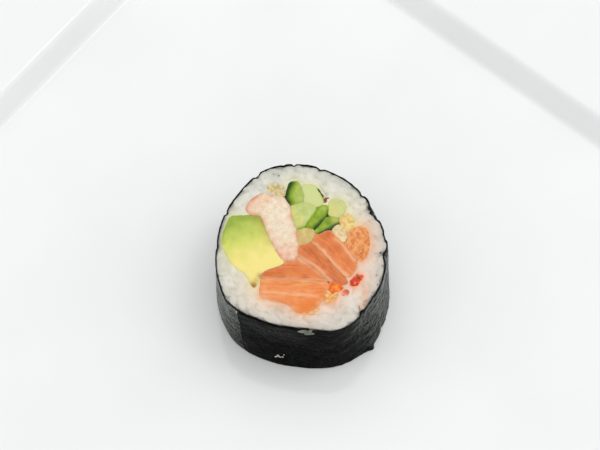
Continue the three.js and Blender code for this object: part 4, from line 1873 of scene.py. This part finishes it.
@dataclass
class Clump(Filling):
    """A clump of crumbs or eggs: a rough core with small bodies heaped on its cut end.

    Attributes:
        body: Diameter of the largest crumb or egg.
        smallest: The smallest one's share of that.
        spacing: Least distance between two.
        uneven: How far their skins are pushed in or out.
        sticky: Whether they melt into each other, as crumbs do and eggs don't.
        cell: Size of the finest detail of their melted skin.
        heaped: How far they may stand over the cut face.
    """

    slot: str = "tempura"
    body: float = 1.6
    smallest: float = 0.82
    spacing: float = 0.9
    uneven: float = 0.8
    sticky: bool = True
    cell: float = 0.16
    heaped: float = 0.5
    swell: tuple[float, float] = (0.4, 1.3)
    sink: float = 0.9
    joins: float = 0.6
    wave: tuple[float, float] = (0.35, 2.0)
    crumple: tuple[float, float] = (0.15, 1.1)

    def build(self, finish: bpy.types.Material) -> bpy.types.Object:
        """Makes the core and the bodies on it.

        Args:
            finish: Their material.

        Returns:
            The core; the bodies are a piece of their own.
        """
        core = super().build(finish)
        loop = grown(self.outline(), -0.2 * self.body)
        flat, faces = filled([loop], inner_points([loop], self.grid))
        height = FACE + 0.3 - 0.5 * self.body + 0.2 * ripple(flat, 2.0, 41)
        marks = {"lie": 3 * ripple(flat, 1.0, 42)}
        bed = make_piece("bed", np.column_stack([flat, height]), [tuple(f) for f in faces], finish, marks)
        name, width = self.node + "_bits", 0.9 * self.body
        scatter = Scatter(
            name, self.body, width, width, self.spacing, tilt=1.5, loose=3.0, uneven=self.uneven,
            cut=FACE + self.heaped, seed=len(self.node), smallest=self.smallest,
        )
        bits = scatter.lay_on(bed, finish)
        if self.sticky:
            bits = fused(name, [bits], self.cell, finish)
        place_piece(bits, self.slot)
        return core


@dataclass(frozen=True)
class Lump:
    """One small stray bit.

    Attributes:
        place: Its middle: x, y and z, or on the wall its angle, its height and how far it
            lies outside the ring.
        size: Its length and width along its face, and its thickness.
        turn: How far it is turned in its face, in degrees.
        on_wall: Whether it sticks to the roll's side, with its length round the roll.
        uneven: How far its skin is pushed in or out, as a share of its size.
    """

    place: tuple[float, float, float]
    size: tuple[float, float, float]
    turn: float = 0.0
    on_wall: bool = False
    uneven: float = 0.2

    def points(self, ball: np.ndarray, shape: RollShape) -> np.ndarray:
        """Places a ball's points.

        Args:
            ball: The points of a ball of diameter 1.
            shape: The ring that it lies on.

        Returns:
            The lump's points.
        """
        body = ball * (1 + self.uneven * ripple(ball, 0.35, int(self.place[0]))[:, None]) * self.size
        c, s = cos_sin(self.turn)
        body = body @ np.array([[c, s, 0], [-s, c, 0], [0, 0, 1]])
        if not self.on_wall:
            return body + self.place
        angle, z, out = (np.array([value]) for value in self.place)
        c, s = cos_sin(self.place[0])
        axes = np.array([(-s, c, 0), (0, 0, 1), (c, s, 0)])
        return shape.points(angle, shape.radius(angle, z) + out, z) + body @ axes


@dataclass(frozen=True)
class Oddments:
    """Stray bits of one kind, such as starch specks on the nori.

    Attributes:
        name: The piece's name.
        slot: The record's material slot.
        look: Which finish they have.
        lumps: The bits.
        marks: Values that their finish reads, by name.
    """

    name: str
    slot: str
    look: str
    lumps: tuple[Lump, ...]
    marks: tuple[tuple[str, float], ...] = ()

    def build(self, shape: RollShape, finish: bpy.types.Material) -> bpy.types.Object:
        """Makes the bits.

        Args:
            shape: The ring that they lie on.
            finish: Their material.

        Returns:
            The bits, as one piece.
        """
        ball = bmesh.new()
        bmesh.ops.create_icosphere(ball, subdivisions=3, radius=0.5)
        start = np.array([v.co for v in ball.verts])
        around = [[v.index for v in f.verts] for f in ball.faces]
        ball.free()
        points = np.vstack([lump.points(start, shape) for lump in self.lumps])
        faces = [[v + k * len(start) for v in face] for k in range(len(self.lumps)) for face in around]
        marks = {mark: np.full(len(points), value) for mark, value in self.marks}
        return place_piece(make_piece(self.name, points, faces, finish, marks, points[:, :2]), self.slot)


# ---------------------------------------------------------------- stage


@dataclass(frozen=True)
class PhotoCamera:
    """The camera at the photograph's place: far off, looking down on the cut face.

    Attributes:
        lens: Focal length, in millimetres.
        sensor: Width of the picture behind the lens, in millimetres.
        elevation: How steeply it looks down, in degrees.
        place: Where it stands, in the slice's axes.
    """

    lens: float = 138.0
    sensor: float = 36.0
    elevation: float = 65.0
    place: tuple[float, float, float] = (-0.3, -287.4, 658.7)

    def build(self) -> bpy.types.Object:
        """Makes the scene's camera.

        Returns:
            The camera.
        """
        data = bpy.data.cameras.new("camera")
        data.lens, data.sensor_width = self.lens, self.sensor
        data.clip_start, data.clip_end = 0.01, 20.0
        camera = new_object("camera", data)
        camera.location = PLACE.to_row(np.array([self.place]))[0].tolist()
        camera.rotation_euler = Euler((math.radians(90 - self.elevation), 0, math.radians(PLACE.turn)))
        bpy.context.scene.camera = camera
        return camera


@dataclass(frozen=True)
class Softbox:
    """One soft light, placed round the slice as the camera sees it.

    Attributes:
        name: The light's name.
        azimuth: Where it stands, in degrees: 0 is the camera's right and 90 behind the slice.
        elevation: How high it stands, in degrees.
        distance: How far off it stands, in metres.
        size: Its side, in metres.
        power: Its power, in watts.
        aim: Height in the slice that it points at, in millimetres.
    """

    name: str
    azimuth: float
    elevation: float
    distance: float
    size: float
    power: float
    aim: float = 11.2

    def build(self) -> bpy.types.Object:
        """Makes the light, aimed at the slice.

        Returns:
            The light.
        """
        data = bpy.data.lights.new(self.name, "AREA")
        data.shape, data.size, data.energy = "SQUARE", self.size, self.power
        light = new_object(self.name, data)
        a, e = math.radians(self.azimuth + PLACE.turn), math.radians(self.elevation)
        away = Vector((math.cos(a) * math.cos(e), math.sin(a) * math.cos(e), math.sin(e)))
        light.location = away * self.distance + Vector(PLACE.to_row([(0.0, 0.0, self.aim)])[0])
        light.rotation_euler = away.to_track_quat("Z", "Y").to_euler()
        return light


@dataclass(frozen=True)
class Studio:
    """The pale floor and the soft light of the photograph.

    Attributes:
        floor_side: Side of the floor, in metres.
        table: Colour of the floor.
        sky: Colour of the light from all round.
        sky_strength: Strength of that light.
        boxes: The softboxes.
    """

    floor_side: float = 6.0
    table: str = "EDEFEE"
    sky: str = "FFFFFF"
    sky_strength: float = 0.66
    boxes: tuple[Softbox, ...] = (
        Softbox("overhead", 75, 72, 1.6, 1.6, 6.4),
        Softbox("right", 5, 38, 1.8, 1.2, 3.9),
        Softbox("window", 19, 65, 1.8, 0.5, 1.9),
        Softbox("left", 185, 35, 1.8, 1.0, 2.7),
    )

    def build(self) -> None:
        """Makes the floor, the lights and the sky."""
        half = self.floor_side / 2
        mesh = bpy.data.meshes.new("floor")
        corners = [(-half, -half, 0), (half, -half, 0), (half, half, 0), (-half, half, 0)]
        mesh.from_pydata(corners, [], [(0, 1, 2, 3)])
        material = bpy.data.materials.new("pale_table")
        material.use_nodes = True
        material.node_tree.nodes.clear()
        shader = add(material.node_tree, "ShaderNodeBsdfDiffuse", {"Color": linear(self.table)})
        add(material.node_tree, "ShaderNodeOutputMaterial", {"Surface": shader})
        mesh.materials.append(material)
        new_object("floor", mesh)
        for box in self.boxes:
            box.build()
        world = bpy.data.worlds.new("studio")
        world.use_nodes = True
        world.node_tree.nodes.clear()
        light = {"Color": linear(self.sky), "Strength": self.sky_strength}
        sky = add(world.node_tree, "ShaderNodeBackground", light)
        add(world.node_tree, "ShaderNodeOutputWorld", {"Surface": sky})
        bpy.context.scene.world = world
        bpy.context.scene.view_settings.view_transform = "Standard"


# ---------------------------------------------------------------- the whole

FINISHES: dict[str, Finish] = {
    "porcelain": GlazedPorcelain(),
    "nori": DampNori(),
    "rice": CookedRice(),
    "soaked_rice": CookedRice("soaked_rice", pearl="8F9385", shade="5E6257"),
    "crab_stick": CrabStick(),
    "avocado": AvocadoFlesh(),
    "cucumber": CucumberFlesh(),
    "salmon": RawSalmon(),
    "golden": FriedBatter("batter_golden", tone=Tone.GOLDEN),
    "pale": FriedBatter("batter_pale", tone=Tone.PALE),
    "apricot": FriedBatter("batter_apricot", tone=Tone.APRICOT),
    "olive": FriedBatter("batter_olive", tone=Tone.OLIVE),
    "orange": FishRoe("roe_orange", tone=Tone.ORANGE),
    "amber": FishRoe("roe_amber", tone=Tone.AMBER),
    "red": FishRoe("roe_red", tone=Tone.RED),
    "rose": FishRoe("roe_rose", tone=Tone.ROSE),
    "sauce": FishRoe("dark_sauce", tone=Tone.SAUCE),
}

FILLINGS: tuple[Filling, ...] = (
    CrabStickFold("surimi"),
    AvocadoWedge("avocado"),
    CucumberBaton(
        "cucumber_1", peel=((-3.2, 21.6), (-4.4, 19.0), (-4.7, 16.5), (-4.0, 15.0)), depth=2.1, green=0.28,
    ),
    CucumberBaton("cucumber_2", peel=((5.4, 20.0), (6.6, 18.2), (7.4, 15.2)), depth=0.3),
    CucumberBaton(
        "cucumber_3", peel=((0.4, 5.4), (3.4, 6.0)), depth=1.6, green=0.14,
        seedy=((-2.6, 11.8, 1.3, 1.4), (-1.2, 10.2, 1.0, 1.0), (0.3, 9.6, 1.0, 1.2), (-0.4, 8.2, 1.1, 1.4)),
    ),
    CucumberBaton("cucumber_4", peel=((9.9, 13.2), (7.9, 10.0), (4.4, 6.2)), depth=1.7, green=0.42),
    CucumberBaton(
        "cucumber_5", peel=((12.0, 8.6), (8.5, 6.2), (5.4, 4.4)), depth=1.2, green=0.46,
        seedy=((10.4, 9.6, 1.2, 0.8),),
    ),
    CucumberBaton("cucumber_6", green=0.06, seedy=((9.6, 12.6, 2.0, 0.8),), browned=0.08),
    CucumberBaton("cucumber_7", green=0.12, seedy=((0.6, 4.6, 1.6, 0.8),), browned=0.5),
    SalmonSlice(
        "salmon_1", lie=-48, deep=0.18, shaded=((8.0, 5.6, 2.2, 0.35),), vivid=((8.0, 5.8, 1.8, 0.35),),
        fat_lines=(
            (((3.3, 2.0), (7.0, -1.6), (10.2, -5.4), (13.8, -9.6)), 0.5, 0.9),
            (((10.5, 3.2), (13.2, -0.2), (16.2, -4.2)), 0.4, 0.8),
        ),
    ),
    SalmonSlice(
        "salmon_2", lie=-44, deep=0.34,
        fat_lines=(
            (((3.9, 1.6), (7.4, -2.0), (10.6, -5.8), (14.2, -10.2)), 0.35, 0.8),
            (((-0.8, -2.6), (2.0, -4.6), (5.2, -6.6), (8.9, -11.0)), 0.5, 0.8),
        ),
    ),
    SalmonSlice(
        "salmon_3", lie=-5, deep=0.22, shaded=((-9.8, -8.2, 3.2, 0.35),), vivid=((-9.8, -8.0, 2.8, 0.4),),
        fat_lines=(
            (((-1.1, -3.1), (1.2, -4.8), (3.5, -6.2), (6.1, -8.0), (8.6, -10.8)), 0.6, 0.85),
            (((-12.3, -9.9), (-2.6, -10.1), (8.0, -10.9)), 0.35, 0.5),
        ),
    ),
    SalmonSlice(
        "salmon_4", lie=-3, deep=-0.06, swell=(0.35, 1.1),
        vivid=((2.2, -19.8, 3.4, 0.8), (6.6, -15.6, 1.6, 0.5)),
        fat_lines=(
            (((-12.3, -10.4), (-2.6, -10.5), (7.4, -10.8)), 0.4, 0.45),
            (((-12.3, -14.6), (-7.8, -14.8), (-2.5, -15.2), (4.9, -15.9)), 0.4, 0.65),
            (((-12.6, -15.6), (-10.5, -17.4), (-7.0, -18.8)), 1.0, 0.7),
        ),
    ),
    Clump("tempura_flakes_1", look="golden", body=2.4, smallest=0.45, spacing=1.1),
    Clump("tempura_flakes_2", look="pale", body=2.4, smallest=0.5, spacing=1.1),
    Clump("tempura_flakes_3", look="apricot", body=2.0, smallest=0.6, spacing=1.0),
    Clump("tempura_flakes_4", look="olive", body=2.0, smallest=0.6, spacing=1.2, uneven=0.5),
    Clump("roe_1", "orange_roe", "orange", body=1.9, smallest=0.4, spacing=0.75, uneven=0.8),
    Clump("roe_2", "orange_roe", "amber", body=1.4, spacing=0.7, uneven=0.4),
    Clump("roe_3", "red_roe", "red", body=1.4, smallest=0.5, spacing=0.7, uneven=0.3, sticky=False),
    Clump("roe_4", "red_roe", "rose", body=1.1, smallest=0.5, spacing=0.55, uneven=0.3, sticky=False),
)

ODDMENTS: tuple[Oddments, ...] = (
    Oddments(
        "stray_grain", "rice", "soaked_rice",
        (
            Lump((272.6, 24.3, 0.85), (3.8, 1.4, 1.0), -12, True, 0.5),
            Lump((275.4, 23.9, 0.85), (3.2, 2.3, 1.2), -14, True, 0.5),
        ),
    ),
    Oddments(
        "starch_specks", "rice", "rice",
        (
            Lump((255.8, 5.2, 1.12), (0.9, 1.5, 0.35), 10, True),
            Lump((254.4, 4.4, 1.1), (0.7, 1.0, 0.3), -30, True),
            Lump((257.0, 4.6, 1.1), (0.5, 0.8, 0.3), 40, True),
            Lump((258.6, 5.0, 1.1), (0.8, 0.6, 0.3), 0, True),
            Lump((259.4, 6.4, 1.1), (0.4, 0.5, 0.3), 0, True),
            Lump((228.0, 24.3, 0.95), (0.9, 1.3, 0.4), 30, True),
        ),
        # The specks take a little of the rice's painted shade.
        (("painted_shade", 0.3),),
    ),
    Oddments(
        # Dark peel-coloured slivers along cucumber_2's skin: its peel, and painted shade for the gap beside
        # it.
        "peel_and_gap_shade", "cucumber", "cucumber",
        (Lump((5.6, 19.1, 26.0), (1.9, 0.4, 0.6), -58), Lump((6.5, 17.7, 26.05), (1.7, 0.45, 0.6), -55)),
        (("skin", 0.95),),
    ),
    Oddments(
        "dark_bits", "red_roe", "sauce",
        (
            Lump((7.5, 16.0, 26.0), (1.9, 1.0, 0.5), 80), Lump((8.1, 16.6, 26.0), (1.2, 0.5, 0.4), 15),
            Lump((17.0, -9.9, 26.2), (1.1, 0.9, 0.6), 30), Lump((17.3, -19.0, 25.95), (3.2, 0.22, 0.3), 102),
        ),
    ),
    Oddments(
        "loose_crumbs", "tempura", "apricot",
        (
            Lump((3.2, -21.2, 25.9), (1.8, 1.2, 0.6), 10), Lump((5.0, -20.4, 25.9), (2.2, 1.3, 0.6), 40),
            Lump((0.9, -21.6, 25.9), (1.4, 0.9, 0.5), -15), Lump((-7.2, -19.0, 26.0), (0.7, 0.6, 0.4), 0),
        ),
    ),
    Oddments(
        "nori_crumbs", "nori", "nori",
        (
            Lump((-6.8, 24.3, 25.9), (0.5, 0.3, 0.3)), Lump((24.0, -1.5, 25.8), (0.7, 0.3, 0.3), 40),
            Lump((22.6, -8.9, 25.85), (0.4, 0.3, 0.3)), Lump((23.0, -12.0, 25.8), (0.6, 0.25, 0.3), 60),
            Lump((-22.9, -11.0, 25.9), (0.5, 0.3, 0.3), 20), Lump((22.0, 6.4, 25.9), (0.4, 0.3, 0.3), 20),
        ),
        # The crumbs take some of the nori's painted sheen.
        (("pale", 0.35),),
    ),
)


def main() -> None:
    """Builds the camera, the stage and every piece, in that order."""
    logging.basicConfig(level=logging.INFO, format="%(name)s %(message)s")
    PhotoCamera().build()
    Studio().build()
    made = {look: finish.build() for look, finish in FINISHES.items()}
    Plate().build(made["porcelain"])
    shape = RollShape()
    NoriSheet().build(shape, made["nori"])
    RiceBed().build(shape, made["rice"])
    for filling in FILLINGS:
        filling.build(made[filling.look])
    for oddment in ODDMENTS:
        oddment.build(shape, made[oddment.look])


if __name__ == "__main__":
    main()
